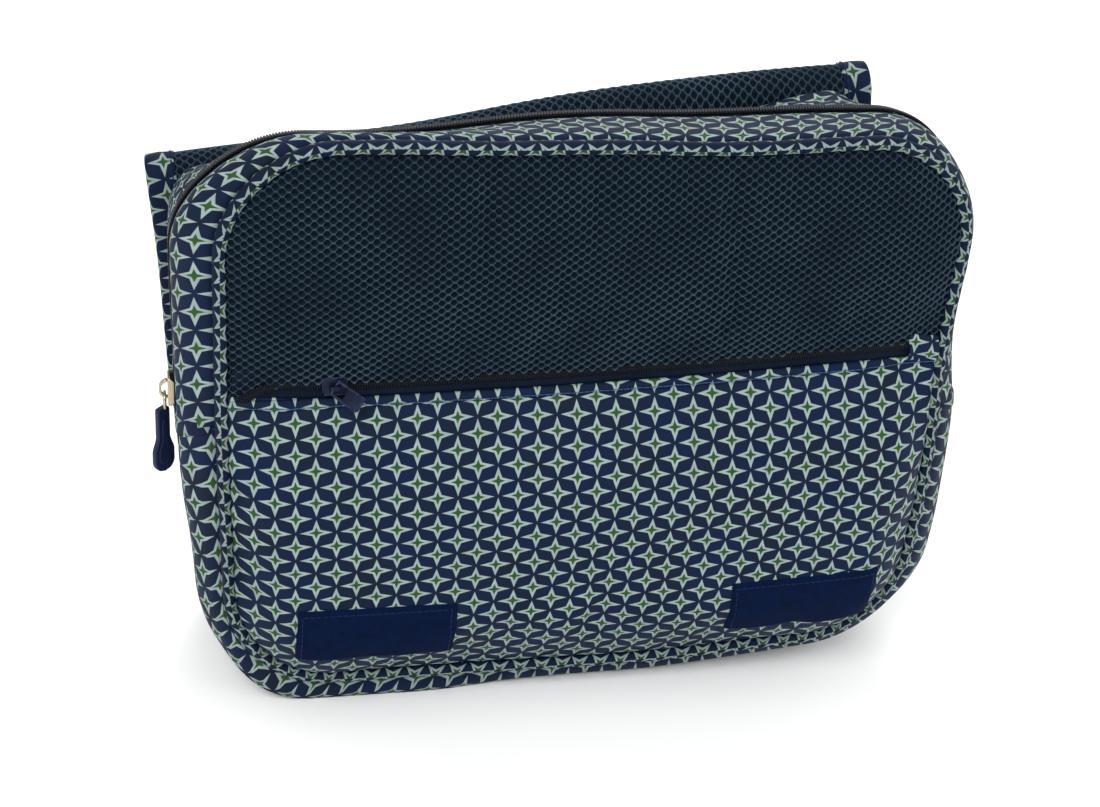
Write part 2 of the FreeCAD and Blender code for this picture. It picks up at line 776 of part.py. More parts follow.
os.makedirs("parts", exist_ok=True)
for one in parts:
    one.Shape.exportStep(f"parts/{one.Label}.step")
    print(one.Label, len(one.Shape.Solids), round(one.Shape.Volume))
print(len(parts), "sub-parts")
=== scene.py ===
import math

import bmesh
import bpy
import numpy as np
from mathutils import Matrix, Vector
from mathutils.bvhtree import BVHTree


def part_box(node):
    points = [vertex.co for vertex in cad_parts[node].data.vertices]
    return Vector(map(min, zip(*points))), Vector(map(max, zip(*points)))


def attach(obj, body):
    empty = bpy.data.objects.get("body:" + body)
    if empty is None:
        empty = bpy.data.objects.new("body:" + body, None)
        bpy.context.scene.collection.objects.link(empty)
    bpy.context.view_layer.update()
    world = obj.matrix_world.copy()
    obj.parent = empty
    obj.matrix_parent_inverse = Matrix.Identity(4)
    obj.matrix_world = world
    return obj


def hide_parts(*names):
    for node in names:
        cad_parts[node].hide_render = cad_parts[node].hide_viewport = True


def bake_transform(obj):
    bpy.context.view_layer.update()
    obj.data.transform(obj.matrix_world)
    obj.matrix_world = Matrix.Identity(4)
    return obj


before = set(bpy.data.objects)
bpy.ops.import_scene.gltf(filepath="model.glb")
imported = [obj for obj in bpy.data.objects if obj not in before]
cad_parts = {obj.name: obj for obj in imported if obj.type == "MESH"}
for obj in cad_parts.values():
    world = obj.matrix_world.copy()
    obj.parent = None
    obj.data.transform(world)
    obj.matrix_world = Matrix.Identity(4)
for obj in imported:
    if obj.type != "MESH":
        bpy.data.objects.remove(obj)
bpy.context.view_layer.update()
mm = 0.001   # shapes below are worked out in millimetres and written in metres


# shader helpers
class Wire:
    # one socket of a material, usable in sums

    def __init__(self, paint, socket):
        self.paint = paint
        self.socket = socket

    def does(self, operation, *others, clamp=False):
        settings = {"operation": operation, "use_clamp": clamp}
        return self.paint.node("Math", settings, dict(enumerate((self, *others))))

    def after(self, operation, first):
        return self.paint.node("Math", {"operation": operation}, {0: first, 1: self})

    def __add__(self, other):
        return self.does("ADD", other)

    def __sub__(self, other):
        return self.does("SUBTRACT", other)

    def __rsub__(self, other):
        return self.after("SUBTRACT", other)

    def __mul__(self, other):
        return self.does("MULTIPLY", other)

    def __truediv__(self, other):
        return self.does("DIVIDE", other)

    __radd__ = __add__
    __rmul__ = __mul__

    def size(self):
        return self.does("ABSOLUTE")

    def least(self, other):
        return self.does("MINIMUM", other)

    def most(self, other):
        return self.does("MAXIMUM", other)

    def step(self, level, softness):
        # 0 below the level and 1 above it, with a soft edge
        return ((self - level) * (1 / softness) + 0.5).does("ADD", 0, clamp=True)


class Paint:
    # one material and the nodes in it

    def __init__(self, name):
        self.material = bpy.data.materials.new(name)
        self.material.use_nodes = True
        self.tree = self.material.node_tree
        self.tree.nodes.clear()

    def node(self, kind, settings=None, inputs=None, out=0):
        made = self.tree.nodes.new("ShaderNode" + kind)
        for key, value in (settings or {}).items():
            setattr(made, key, value)
        for key, value in (inputs or {}).items():
            if isinstance(value, Wire):
                self.tree.links.new(value.socket, made.inputs[key])
            else:
                made.inputs[key].default_value = value
        return Wire(self, made.outputs[out])

    def mix(self, share, first, second, how="MIX"):
        settings = {"data_type": "RGBA", "blend_type": how}
        return self.node("Mix", settings, {0: share, 6: first, 7: second}, out=2)

    def noise(self, where, scale, detail=2.0, rough=0.5):
        return self.node("TexNoise", None, {"Vector": where, "Scale": scale, "Detail": detail, "Roughness": rough})

    def place(self, kind="Object"):
        return self.node("TexCoord", None, None, out=kind)

    def parts(self, vector):
        split = self.node("SeparateXYZ", None, {0: vector})
        sockets = split.socket.node.outputs
        return [Wire(self, sockets[i]) for i in range(3)]

    def bump(self, height, distance, strength=1.0, under=None):
        inputs = {"Height": height, "Distance": distance, "Strength": strength}
        if under is not None:
            inputs["Normal"] = under
        return self.node("Bump", None, inputs)

    def finish(self, inputs):
        shader = self.node("BsdfPrincipled", None, inputs)
        output = self.tree.nodes.new("ShaderNodeOutputMaterial")
        self.tree.links.new(shader.socket, output.inputs["Surface"])
        return self.material


def shade(red, green, blue):
    # a colour given as it looks on a screen, 0 to 255
    def linear(value):
        value /= 255
        return value / 12.92 if value <= 0.04045 else ((value + 0.055) / 1.055) ** 2.4
    return (linear(red), linear(green), linear(blue), 1.0)


# materials
netting = {"across": 5.12, "up": 3.8, "hole": 0.86, "thread": 1.1, "sink": 0.45}   # mm, hole as a share of a tile
starPrint = {
    "spacing": 17.7,          # mm between stars in a row
    "rise": 13.5,             # mm between every second row
    "star": (7.2, 6.1),       # mm from a star's middle to its points, across and up
    "core": (3.3, 2.9),       # the same for the small star inside it
    "light": shade(160, 177, 176),
    "green": shade(36, 78, 48),
    "petals": (shade(11, 29, 62), shade(19, 31, 48)),
    "weave": 0.42,            # mm between threads
}


def starMask(first, second, points, pinch):
    # a four-pointed star round each point of the print's lattice; more pinch makes thinner arms
    wide = (first - second).size() * (starPrint["spacing"] / 2 / points[0])
    tall = (first + second).size() * (starPrint["rise"] / 2 / points[1])
    return 1 - (wide.most(tall) + wide.least(tall).does("POWER", 0.93) * pinch)


def printedCloth(name, turned=0.0, rough=0.55, tone=1.0):
    look = starPrint
    paint = Paint(name)
    uv = paint.place("UV")
    across, up, _ = paint.parts(uv)
    wander = paint.noise(uv, 60.0, 1.0)
    c, s = math.cos(turned), math.sin(turned)
    wide = (across * c + up * s) / (look["spacing"] * mm)
    tall = (up * c - across * s) / (look["rise"] * mm)
    first, second = wide + tall + (wander - 0.5) * 0.06, tall - wide + (wander - 0.5) * 0.06
    first, second = first - first.does("ROUND"), second - second.does("ROUND")
    big = starMask(first, second, look["star"], 2.95).step(0.0, 0.05)
    small = starMask(first, second, look["core"], 2.7).step(0.0, 0.12)
    blotch = paint.noise(uv, 42.0, 3.0)
    ground = paint.mix(blotch.step(0.5, 0.35), look["petals"][0], look["petals"][1])
    fade = paint.noise(uv, 260.0, 2.0)
    lightShade = paint.mix(fade.step(0.5, 0.5), look["light"], shade(140, 156, 154))
    greenShade = paint.mix(fade.step(0.5, 0.5), look["green"], shade(56, 82, 42))
    colour = paint.mix(big, ground, paint.mix(small, lightShade, greenShade))
    threads = 2 * math.pi / (look["weave"] * mm)
    weft = (across * threads).does("SINE")
    warp = (up * threads).does("SINE")
    weave = weft * warp
    colour = paint.mix(((weave + 1) * 0.16).does("ADD", 0, clamp=True), colour, (0, 0, 0, 1), "MULTIPLY")
    colour = paint.mix(1.0, colour, (tone, tone, tone, 1), "MULTIPLY")
    crease = paint.noise(paint.place("Object"), 55.0, 4.0, 0.55)
    lumps = paint.bump(crease, 0.9 * mm, 0.5)
    normal = paint.bump(weave, 0.05 * mm, 0.7, lumps)
    dull = rough + (blotch - 0.5) * 0.2 + weave * 0.05
    return paint.finish({"Base Color": colour, "Roughness": dull, "Normal": normal,
                         "Specular IOR Level": 0.07})


def plainCloth(name, colour, pitch=0.5, rough=0.7, ribs=False):
    paint = Paint(name)
    uv = paint.place("UV")
    across, up, _ = paint.parts(uv)
    threads = 2 * math.pi / (pitch * mm)
    warp = (across * threads).does("SINE")
    weave = warp if ribs else warp * (up * threads).does("SINE")
    cloud = paint.noise(paint.place("Object"), 90.0, 3.0)
    deeper = tuple(c * 0.55 for c in colour[:3]) + (1,)
    tone = paint.mix((cloud + weave * 0.18).step(0.5, 0.6), deeper, colour)
    lumps = paint.bump(cloud, 0.6 * mm, 0.5)
    normal = paint.bump(weave, 0.08 * mm, 0.8, lumps)
    return paint.finish({"Base Color": tone, "Roughness": rough + (cloud - 0.5) * 0.15, "Normal": normal,
                         "Specular IOR Level": 0.07})


def knitThread(name, colour, darker):
    paint = Paint(name)
    where = paint.place("Object")
    fine = paint.noise(where, 2600.0, 2.0)
    broad = paint.noise(where, 26.0, 2.0)
    tone = paint.mix((fine * 0.5 + broad * 0.5).step(0.5, 0.45), darker, colour)
    normal = paint.bump(fine, 0.12 * mm, 0.8)
    return paint.finish({"Base Color": tone, "Roughness": 0.55 + (broad - 0.5) * 0.2, "Normal": normal,
                         "Specular IOR Level": 0.16})


def netBacking(name, holeShade, thread):
    # the sheet under the net: thread colour, with painted shade where the net's holes lie, as dark as the shaded
    # inside seen through them
    paint = Paint(name)
    across, up, _ = paint.parts(paint.place("UV"))
    alongRow = (across * (2 * math.pi / (netting["across"] * mm))).does("COSINE")
    holes = alongRow * (up * (2 * math.pi / (netting["up"] * mm))).does("COSINE")
    fine = paint.noise(paint.place("Object"), 2200.0, 2.0)
    broad = paint.noise(paint.place("Object"), 30.0, 2.0)
    # painted shade in the spots that lie under the net's holes
    paintedHoleShade = holes.step(0.12, 0.3)
    colour = paint.mix(paintedHoleShade, paint.mix(fine, holeShade, thread), holeShade)
    normal = paint.bump(fine - paintedHoleShade, 0.4 * mm, 0.6)
    return paint.finish({"Base Color": colour, "Roughness": 0.8 + (broad - 0.5) * 0.2, "Normal": normal,
                         "Specular IOR Level": 0.07})


def fuzzyPile(name, colour, fleck):
    paint = Paint(name)
    where = paint.place("Object")
    fibre = paint.noise(where, 1900.0, 4.0, 0.7)
    clump = paint.noise(where, 230.0, 3.0, 0.6)
    lint = paint.noise(where, 900.0, 2.0, 0.5)
    deeper = tuple(c * 0.4 for c in colour[:3]) + (1,)
    tone = paint.mix((fibre * 0.6 + clump * 0.4).step(0.5, 0.28), deeper, colour)
    tone = paint.mix(lint.step(0.76, 0.04) * fibre * 0.5, tone, fleck)
    normal = paint.bump(fibre, 0.45 * mm, 0.9, paint.bump(clump, 0.7 * mm, 0.6))
    return paint.finish({"Base Color": tone, "Roughness": 0.85 + (clump - 0.5) * 0.2, "Normal": normal,
                         "Specular IOR Level": 0.05})


def moulded(name, colour, rough, coat=0.0, grain=600.0, metal=0.0, gloss=0.3, edgeHighlight=None):
    paint = Paint(name)
    where = paint.place("Object")
    fine = paint.noise(where, grain, 3.0)
    broad = paint.noise(where, 70.0, 3.0)
    deeper = tuple(c * 0.6 for c in colour[:3]) + (1,)
    tone = paint.mix((broad * 0.6 + fine * 0.4).step(0.5, 0.5), deeper, colour)
    if edgeHighlight is not None:
        # painted highlight: sharp edges turn a paler colour, as if catching the light
        edge = paint.node("NewGeometry", None, None, out="Pointiness")
        highlightedEdge = edge.step(0.56, 0.06) * (fine.step(0.45, 0.3))
        tone = paint.mix(highlightedEdge, tone, edgeHighlight)
    normal = paint.bump(fine, 0.06 * mm, 0.5)
    return paint.finish({"Base Color": tone, "Roughness": rough + (fine - 0.5) * 0.25, "Normal": normal,
                         "Metallic": metal, "Coat Weight": coat, "Coat Roughness": 0.15,
                         "Specular IOR Level": gloss})


starCloth = printedCloth("starCloth")
bias = math.atan2(starPrint["rise"], starPrint["spacing"])
pipingCloth = printedCloth("pipingCloth", turned=bias, tone=0.8)
bindingCloth = printedCloth("bindingCloth", tone=0.9)
meshThread = knitThread("meshThread", shade(64, 84, 99), shade(22, 36, 50))
# the sheet under the netting: its near-black colour is painted shade, as seen through the net's holes
shadedMeshGround = netBacking("shadedMeshGround", shade(4, 14, 24), shade(28, 43, 57))
zipTapeCloth = plainCloth("zipTapeCloth", shade(13, 24, 42), pitch=0.9, rough=0.6, ribs=True)
liningCloth = plainCloth("liningCloth", shade(26, 34, 60), pitch=0.6)
seamTapeCloth = plainCloth("seamTapeCloth", shade(18, 24, 48), pitch=0.8, ribs=True)
coilNylon = moulded("coilNylon", shade(9, 15, 26), 0.42, grain=1500.0, gloss=0.12)
nickelPlate = moulded("nickelPlate", shade(205, 190, 165), 0.28, grain=900.0, metal=1.0)
# the pocket slider's navy enamel, with a painted highlight on its sharp edges
enamel = moulded("enamel", shade(9, 16, 38), 0.4, gloss=0.15, edgeHighlight=shade(60, 72, 112))
rubber = moulded("rubber", shade(23, 32, 66), 0.5, grain=1200.0, gloss=0.2)
loopPile = fuzzyPile("loopPile", shade(4, 23, 57), shade(90, 112, 150))
hookNylon = fuzzyPile("hookNylon", shade(10, 24, 54), shade(60, 80, 130))
blueThread = plainCloth("blueThread", shade(70, 104, 150), pitch=0.3, rough=0.6)
navyThread = plainCloth("navyThread", shade(30, 44, 80), pitch=0.3, rough=0.6)
print("materials made")


# shapes in millimetres
pouch = {
    "width": 366.0, "height": 283.0, "corner": 57.0,
    "front": -33.5, "rear": 33.5,            # the two seams
    "zipMiddle": -2.5, "tape": 6.0,
    "joinLow": 139.5, "joinHigh": 147.5,
    "faceWide": 0.913, "faceHigh": 0.955,    # the front seam's ring as a share of the widest outline
    "flare": 20.0,                           # depth over which the gusset swells out from the front seam
}
pocket = {"level": 169.0, "slope": math.radians(2.1), "chain": 7.0, "fold": 12.5, "slider": -115.6}
halfWide = pouch["width"] / 2
corner = pouch["corner"]
arc = corner * math.pi / 2
lowRun = halfWide - corner                     # half of the straight run along the floor
sideRun = pouch["height"] - 2 * corner
ringLength = 4 * lowRun + 2 * sideRun + 4 * arc
leftSide = lowRun + arc                        # where the left side starts
topLeft = leftSide + sideRun + arc
topRight = topLeft + 2 * lowRun
rightSide = topRight + arc


def ramp(value, low, high):
    t = np.clip((np.asarray(value, float) - low) / (high - low), 0, 1)
    return t * t * (3 - 2 * t)


def onRing(along, inset=0.0):
    # a point of the pouch's outline, clockwise from the middle of the floor, and its outward direction
    s = np.mod(np.asarray(along, float), ringLength)
    inset = np.broadcast_to(np.asarray(inset, float), s.shape)
    x, z, nx, nz = (np.zeros(s.shape) for _ in range(4))
    wide, high = halfWide - inset, pouch["height"] - inset
    centres = [(-lowRun, corner, 270), (-lowRun, pouch["height"] - corner, 180),
               (lowRun, pouch["height"] - corner, 90), (lowRun, corner, 0)]
    starts = [lowRun, leftSide + sideRun, topRight, rightSide + sideRun]
    for (cx, cz, angle), start in zip(centres, starts):
        part = (s >= start) & (s < start + arc)
        turn = np.radians(angle - 90 * (s - start) / arc)
        x = np.where(part, cx + (corner - inset) * np.cos(turn), x)
        z = np.where(part, cz + (corner - inset) * np.sin(turn), z)
        nx = np.where(part, np.cos(turn), nx)
        nz = np.where(part, np.sin(turn), nz)
    straights = [
        (s < lowRun, -s, inset, 0, -1),
        ((s >= leftSide) & (s < leftSide + sideRun), -wide, corner + s - leftSide, -1, 0),
        ((s >= topLeft) & (s < topRight), s - topLeft - lowRun, high, 0, 1),
        ((s >= rightSide) & (s < rightSide + sideRun), wide, pouch["height"] - corner - (s - rightSide), 1, 0),
        (s >= rightSide + sideRun + arc, ringLength - s, inset, 0, -1),
    ]
    for part, px, pz, dx, dz in straights:
        x, z = np.where(part, px, x), np.where(part, pz, z)
        nx, nz = np.where(part, dx, nx), np.where(part, dz, nz)
    return x, z, nx, nz


def sideLength(level, left=True):
    # how far along the outline a level of the left or right side is
    if left:
        return leftSide + level - corner
    return rightSide + pouch["height"] - corner - level


def drawnIn(x, z, share):
    # the front seam's ring is smaller than the widest outline, and hangs from the same top
    wide = 1 - (1 - pouch["faceWide"]) * share
    high = 1 - (1 - pouch["faceHigh"]) * share
    return x * wide, pouch["height"] - (pouch["height"] - z) * high


def onFace(x, z):
    # where a point of the finished front face was before it was drawn in
    return x / pouch["faceWide"], pouch["height"] - (pouch["height"] - z) / pouch["faceHigh"]


def settle(points):
    # the gusset swells out behind the front seam, and the empty pouch sags
    p = np.array(points, float)
    x, y, z = p.T.copy()
    share = np.clip(1 - (y + 34.5) / pouch["flare"], 0, 1) ** 2.2
    low = np.clip(1 - (y + 34.5) / 11, 0, 1) ** 2.6
    newX, _ = drawnIn(x, z, np.maximum(share, ramp(y, 8, 36) * (0.35 - 0.3 * ramp(x, -100, -170))))
    _, newZ = drawnIn(x, z, low + (share - low) * ramp(z, 80, 180))
    newZ = np.where(y > 0, z, newZ)
    newZ += (15.0 - 7.5 * share) * ramp(x, 20, 182) * ramp(z, 120, 0)
    # the right side: slack at the floor, sunk above the pocket
    rightward = ramp(x, 110, 184)
    newX -= 3.5 * rightward * ramp(z, 120, 10)
    newX -= rightward * (1 - share) * 9.0 * ramp(z, 130, 190) * ramp(z, 20, 80)
    newX -= 2.4 * rightward * np.exp(-((z - 172) / 45) ** 2)
    # the left side: drawn in at the floor, hanging lower towards the back
    newX += 9.5 * ramp(x, -110, -184) * (1 - 0.7 * share) * ramp(z, 165, 20)
    hanging = ramp(x, -120, -176) * ramp(z, 60, 140) * ramp(z, 283, 200)
    newZ += hanging * (2.6 - 7.6 * ramp(y, -33, 0))
    # the top: zip and rear strip have fallen in on the left and at the right corner
    newZ -= ramp(z, 205, 283) * (1.0 + 0.9 * np.sin(x / 47.0 + 0.5) + 0.5 * np.sin(x / 19.0 + y / 23.0))
    newZ -= ramp(y, -32, -6) * ramp(x, 20, -120) * ramp(z, 225, 283) * 10
    newZ -= ramp(y, -4, 34) * ramp(z, 215, 283) * (4 + 17 * ramp(x, 125, 45) * ramp(x, -190, -150))
    rounding = ramp(x, 118, 150) * ramp(z, 170, 240) * ramp(y, -4, 12)
    newX -= 6.0 * rounding
    newZ -= 6.0 * rounding
    side = ramp(np.abs(x), 150, 176) * ramp(z, 30, 90) * (1 - share)
    newX -= np.sign(x) * side * (0.5 + 0.5 * np.sin(z / 21.0 + 1.0 + np.sign(x)))
    newY = y - 8.0 * ramp(z, 30, 4) * ramp(x, 10, -80) * ramp(y, -34, -22) * ramp(y, 26, 0)
    return np.stack([newX, newY, newZ], 1)


def spots(*grids):
    # points from one grid for each coordinate
    return np.stack([np.ravel(grid) for grid in grids], 1)


def mesh(name, points, faces, material, uv=None, smooth=True, merge=0.0):
    data = bpy.data.meshes.new(name)
    data.from_pydata((np.asarray(points, float) * mm).tolist(), [], [tuple(map(int, f)) for f in faces])
    if uv is not None:
        layer = data.uv_layers.new(name="cloth")
        corners = np.zeros(len(data.loops), np.int32)
        data.loops.foreach_get("vertex_index", corners)
        layer.data.foreach_set("uv", (np.asarray(uv, float)[corners] * mm).astype(np.float32).ravel())
    data.polygons.foreach_set("use_smooth", [smooth] * len(data.polygons))
    if merge:
        shape = bmesh.new()
        shape.from_mesh(data)
        bmesh.ops.remove_doubles(shape, verts=shape.verts, dist=merge * mm)
        bmesh.ops.recalc_face_normals(shape, faces=shape.faces)
        shape.to_mesh(data)
        shape.free()
    data.materials.append(material)
    piece = bpy.data.objects.new(name, data)
    bpy.context.scene.collection.objects.link(piece)
    return piece


def gridFaces(rows, columns, flip=False, start=0):
    a = (np.arange(rows - 1)[:, None] * columns + np.arange(columns - 1)[None, :]).ravel() + start
    quads = np.stack([a, a + 1, a + columns + 1, a + columns], 1)
    return quads[:, ::-1] if flip else quads


def thicken(piece, thickness, offset=-1.0, levels=0):
    solid = piece.modifiers.new("wall", "SOLIDIFY")
    solid.thickness = thickness * mm
    solid.offset = offset
    if levels:
        smooth = piece.modifiers.new("smooth", "SUBSURF")
        smooth.levels = smooth.render_levels = levels
    return piece


def band(name, span, profile, material, step=4.0, wall=0.0, wave=None, shift=(0, 0)):
    # a strip of cloth swept along the outline: the profile gives depth and inset pairs
    count = max(int(abs(span[1] - span[0]) / step), 2)
    along = np.linspace(span[0], span[1], count)
    profile = np.asarray(profile, float)
    depth = np.tile(profile[:, 0], (count, 1))
    inset = np.tile(profile[:, 1], (count, 1))
    s = np.tile(along[:, None], (1, len(profile)))
    if wave is not None:
        moreDepth, moreInset = wave(s, depth)
        depth, inset = depth + moreDepth, inset + moreInset
    x, z, _, _ = onRing(s, inset)
    points = spots(x, depth, z)
    run = np.r_[0, np.cumsum(np.hypot(*np.diff(profile, axis=0).T))]
    uv = np.stack([(s + shift[0]).ravel(), np.tile(run + shift[1], (count, 1)).ravel()], 1)
    piece = mesh(name, settle(points), gridFaces(count, len(profile)), material, uv)
    if wall:
        thicken(piece, wall)
    return piece


def scatter(name, template, faces, places, material):
    # copies of one small shape: places holds an origin and three directions for each copy
    template = np.asarray(template, float)
    origin, first, second, third = (np.asarray(p, float) for p in places)
    points = (origin[:, None, :] + template[None, :, 0:1] * first[:, None, :]
              + template[None, :, 1:2] * second[:, None, :] + template[None, :, 2:3] * third[:, None, :])
    count, size = len(origin), len(template)
    allFaces = [tuple(i + n * size for i in f) for n in range(count) for f in faces]
    return mesh(name, points.reshape(-1, 3), allFaces, material, np.tile(template[:, :2], (count, 1)))


def pill(long, radius, flat=1.0, sides=6):
    # a stretched bead along the first direction
    lengths = [-long / 2, -long / 2 + radius * 0.45, long / 2 - radius * 0.45, long / 2]
    widths = [0.45, 1.0, 1.0, 0.45]
    points = []
    for place, width in zip(lengths, widths):
        for k in range(sides):
            angle = 2 * math.pi * k / sides
            points.append((place, radius * width * math.cos(angle), radius * flat * width * math.sin(angle)))
    faces = []
    for ring in range(len(lengths) - 1):
        for k in range(sides):
            a, b = ring * sides + k, ring * sides + (k + 1) % sides
            faces.append((a, b, b + sides, a + sides))
    faces.append(tuple(range(sides))[::-1])
    faces.append(tuple(range((len(lengths) - 1) * sides, len(lengths) * sides)))
    return points, faces


def unit(vectors):
    vectors = np.asarray(vectors, float)
    return vectors / np.maximum(np.linalg.norm(vectors, axis=-1, keepdims=True), 1e-9)


def stitches(name, line, outward, material, pitch=3.4, long=2.5, radius=0.3):
    # thread along a line of points, one bead a stitch
    line = np.asarray(line, float)
    outward = np.broadcast_to(np.asarray(outward, float), line.shape)
    run = np.r_[0, np.cumsum(np.linalg.norm(np.diff(line, axis=0), axis=1))]
    at = np.arange(pitch / 2, run[-1], pitch)
    centre = np.stack([np.interp(at, run, line[:, k]) for k in range(3)], 1)
    ahead = np.stack([np.interp(at + 0.5, run, line[:, k]) for k in range(3)], 1)
    behind = np.stack([np.interp(at - 0.5, run, line[:, k]) for k in range(3)], 1)
    out = unit(np.stack([np.interp(at, run, outward[:, k]) for k in range(3)], 1))
    along = unit(ahead - behind)
    side = unit(np.cross(out, along))
    template, faces = pill(long, radius)
    return scatter(name, template, faces, (centre, along, side, np.cross(along, side)), material)


def simulate(piece, pinned, pressure, stretch=0.0, frames=20, reach=4.0, stiff=18.0):
    # lets the cloth belly out between its sewn edges, then keeps the result
    group = piece.vertex_groups.new(name="sewn")
    group.add([int(i) for i in pinned], 1.0, "REPLACE")
    before = np.array([v.co for v in piece.data.vertices], float)
    cloth = piece.modifiers.new("cloth", "CLOTH")
    cloth.settings.vertex_group_mass = "sewn"
    cloth.settings.use_pressure = True
    cloth.settings.uniform_pressure_force = pressure
    cloth.settings.shrink_min = -stretch
    cloth.settings.tension_stiffness = cloth.settings.compression_stiffness = stiff
    cloth.settings.bending_stiffness = 0.6
    cloth.settings.effector_weights.gravity = 0
    cloth.settings.quality = 6
    cloth.point_cache.frame_start, cloth.point_cache.frame_end = 1, frames
    for number in range(1, frames + 1):
        bpy.context.scene.frame_set(number)
    evaluated = piece.evaluated_get(bpy.context.evaluated_depsgraph_get())
    after = np.array([v.co for v in evaluated.data.vertices], float)
    move = after - before
    length = np.linalg.norm(move, axis=1, keepdims=True)
    move *= np.minimum(1, reach * mm / np.maximum(length, 1e-9))
    piece.modifiers.remove(cloth)
    piece.data.vertices.foreach_set("co", (before + move).astype(np.float32).ravel())
    piece.data.update()
    bpy.context.scene.frame_set(1)
    return piece


def treeOf(piece):
    data = piece.data
    return BVHTree.FromPolygons([v.co.copy() for v in data.vertices], [tuple(p.vertices) for p in data.polygons])


def dropOnto(tree, x, z, backward=False):
    # the depth, in millimetres, where a line along the depth meets a cloth, and the cloth's direction there
    start, way = (0.2, -1) if backward else (-0.2, 1)
    depth, normal = np.zeros(len(x)), np.zeros((len(x), 3))
    last = (0.0, Vector((0, -1, 0)))
    for i, (px, pz) in enumerate(zip(x, z)):
        hit, out, _, _ = tree.ray_cast(Vector((px * mm, start, pz * mm)), Vector((0, way, 0)))
        if hit is None:
            hit, out, _, _ = tree.find_nearest(Vector((px * mm, last[0] * mm, pz * mm)))
        last = (hit.y / mm, out)
        depth[i] = last[0]
        normal[i] = out if out.y * way < 0 else -out
    return depth, normal


def foldZone(piece):
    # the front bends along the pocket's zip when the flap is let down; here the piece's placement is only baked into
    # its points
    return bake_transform(piece)


def done(piece, body, slot, *nodes):
    if body == "fold":
        foldZone(piece)
    elif body == "panel":
        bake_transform(piece)
    else:
        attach(piece, body)
    if nodes:
        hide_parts(*nodes)
    return piece


def chainDrop(x):
    # the chain bends down at its left end
    return 8.5 * np.clip((-np.asarray(x, float) - 144) / 26, 0, 1) ** 2.2


def edgeLevel(x):
    # the pocket's top edge before the face is drawn in: a straight slope with a slight sag
    x = np.asarray(x, float) * pouch["faceWide"]
    level = pocket["level"] + x * math.tan(pocket["slope"]) + 3.0 * (x / 160) ** 2 - 1.6
    return onFace(x, level)[1]


# front cloths
front = {
    "rim": 5.2,               # how far in from the outline the cloths are sewn
    "cell": 4.6,              # spacing of the cloth's points
    "rimDepth": -36.2,
    "belly": 19.0, "windowBelly": 6.0,
    "pressure": 4.0,
}


def outlineEdge(x, inset, upper):
    # height of the outline at an x, on the floor side or the top side
    over = np.clip(np.abs(np.asarray(x, float)) - lowRun, 0, corner - inset)
    curve = corner - np.sqrt(np.maximum((corner - inset) ** 2 - over ** 2, 0))
    return pouch["height"] - curve if upper else curve


def rimDistance(x, z, inset):
    # how far inside the outline a point is
    qx = np.abs(x) - (halfWide - corner)
    qz = np.abs(z - pouch["height"] / 2) - (pouch["height"] / 2 - corner)
    outside = np.hypot(np.maximum(qx, 0), np.maximum(qz, 0)) + np.minimum(np.maximum(qx, qz), 0)
    return corner - inset - outside


def frontCloth(name, low, high, depth, material):
    cell, inset = front["cell"], front["rim"]
    reach = corner - inset
    t = np.linspace(0, 1, 10)
    curveX = lowRun + reach * (1 - (1 - t) ** 1.45)
    middle = np.linspace(-lowRun, lowRun, int(2 * lowRun / cell))
    xs = np.r_[-curveX[::-1], middle[1:-1], curveX]
    bottom, top = low(xs), high(xs)
    rows = int((top - bottom).max() / cell) + 1
    t = np.linspace(0, 1, rows)[:, None]
    z = bottom[None, :] * (1 - t) + top[None, :] * t
    x = np.tile(xs, (rows, 1))
    points = np.stack([x.ravel(), depth(x, z).ravel(), z.ravel()], 1)
    points = settle(points)
    piece = mesh(name, points, gridFaces(rows, len(xs)), material, points[:, [0, 2]])
    number = np.arange(rows * len(xs)).reshape(rows, len(xs))
    rim = np.unique(np.r_[number[0], number[-1], number[:, 0], number[:, -1]])
    return piece, rim


def pocketDepth(x, z):
    side = np.clip(rimDistance(x, z, front["rim"]) / 30, 0, 1)
    upper = np.clip((edgeLevel(x) - z) / 75, 0, 1)
    rounded = np.sin(side * math.pi / 2) ** 0.8
    return front["rimDepth"] - 1.2 * (1 - upper) - front["belly"] * rounded * np.sin(upper * math.pi / 2)


def windowDepth(x, z):
    side = np.clip(rimDistance(x, z, front["rim"]) / 40, 0, 1)
    lower = np.clip((z - edgeLevel(x) - 7) / 40, 0, 1)
    sag = 2.5 * np.exp(-((x - 70) / 55) ** 2 - ((z - 225) / 30) ** 2)
    belly = front["windowBelly"] * np.sin(side * math.pi / 2) * (0.3 + 0.7 * np.sin(lower * math.pi / 2))
    return front["rimDepth"] - belly + sag


pocketPanel, rim = frontCloth(
    "pocketPanel", lambda x: outlineEdge(x, front["rim"], False), edgeLevel, pocketDepth, starCloth)
simulate(pocketPanel, rim, front["pressure"], stretch=0.012, reach=3.2)
panelTree = treeOf(pocketPanel)
thicken(pocketPanel, 1.0, levels=1)
done(pocketPanel, "pouch", "printed_fabric", "front_pocket_panel")
print("pocket panel made")

windowGround, rim = frontCloth(
    "windowGround", lambda x: edgeLevel(x) + 9.5 - chainDrop(x), lambda x: outlineEdge(x, front["rim"], True),
    windowDepth, shadedMeshGround)
simulate(windowGround, rim, front["pressure"] * 0.6, stretch=0.006, reach=2.5)
windowTree = treeOf(windowGround)


# the netting: one ring of faces for each hole


def hexagon(across, up):
    # corners and edge middles of the tile around one hole
    half = across / 2
    wide = (half * half + up * up / 4) / across
    narrow = (half * half - up * up / 4) / across
    corners = [(wide, 0), (narrow, up / 2), (-narrow, up / 2), (-wide, 0), (-narrow, -up / 2), (narrow, -up / 2)]
    tile = []
    for k in range(6):
        a, b = np.array(corners[k]), np.array(corners[(k + 1) % 6])
        tile += [a, (a + b) / 2]
    return np.array(tile)


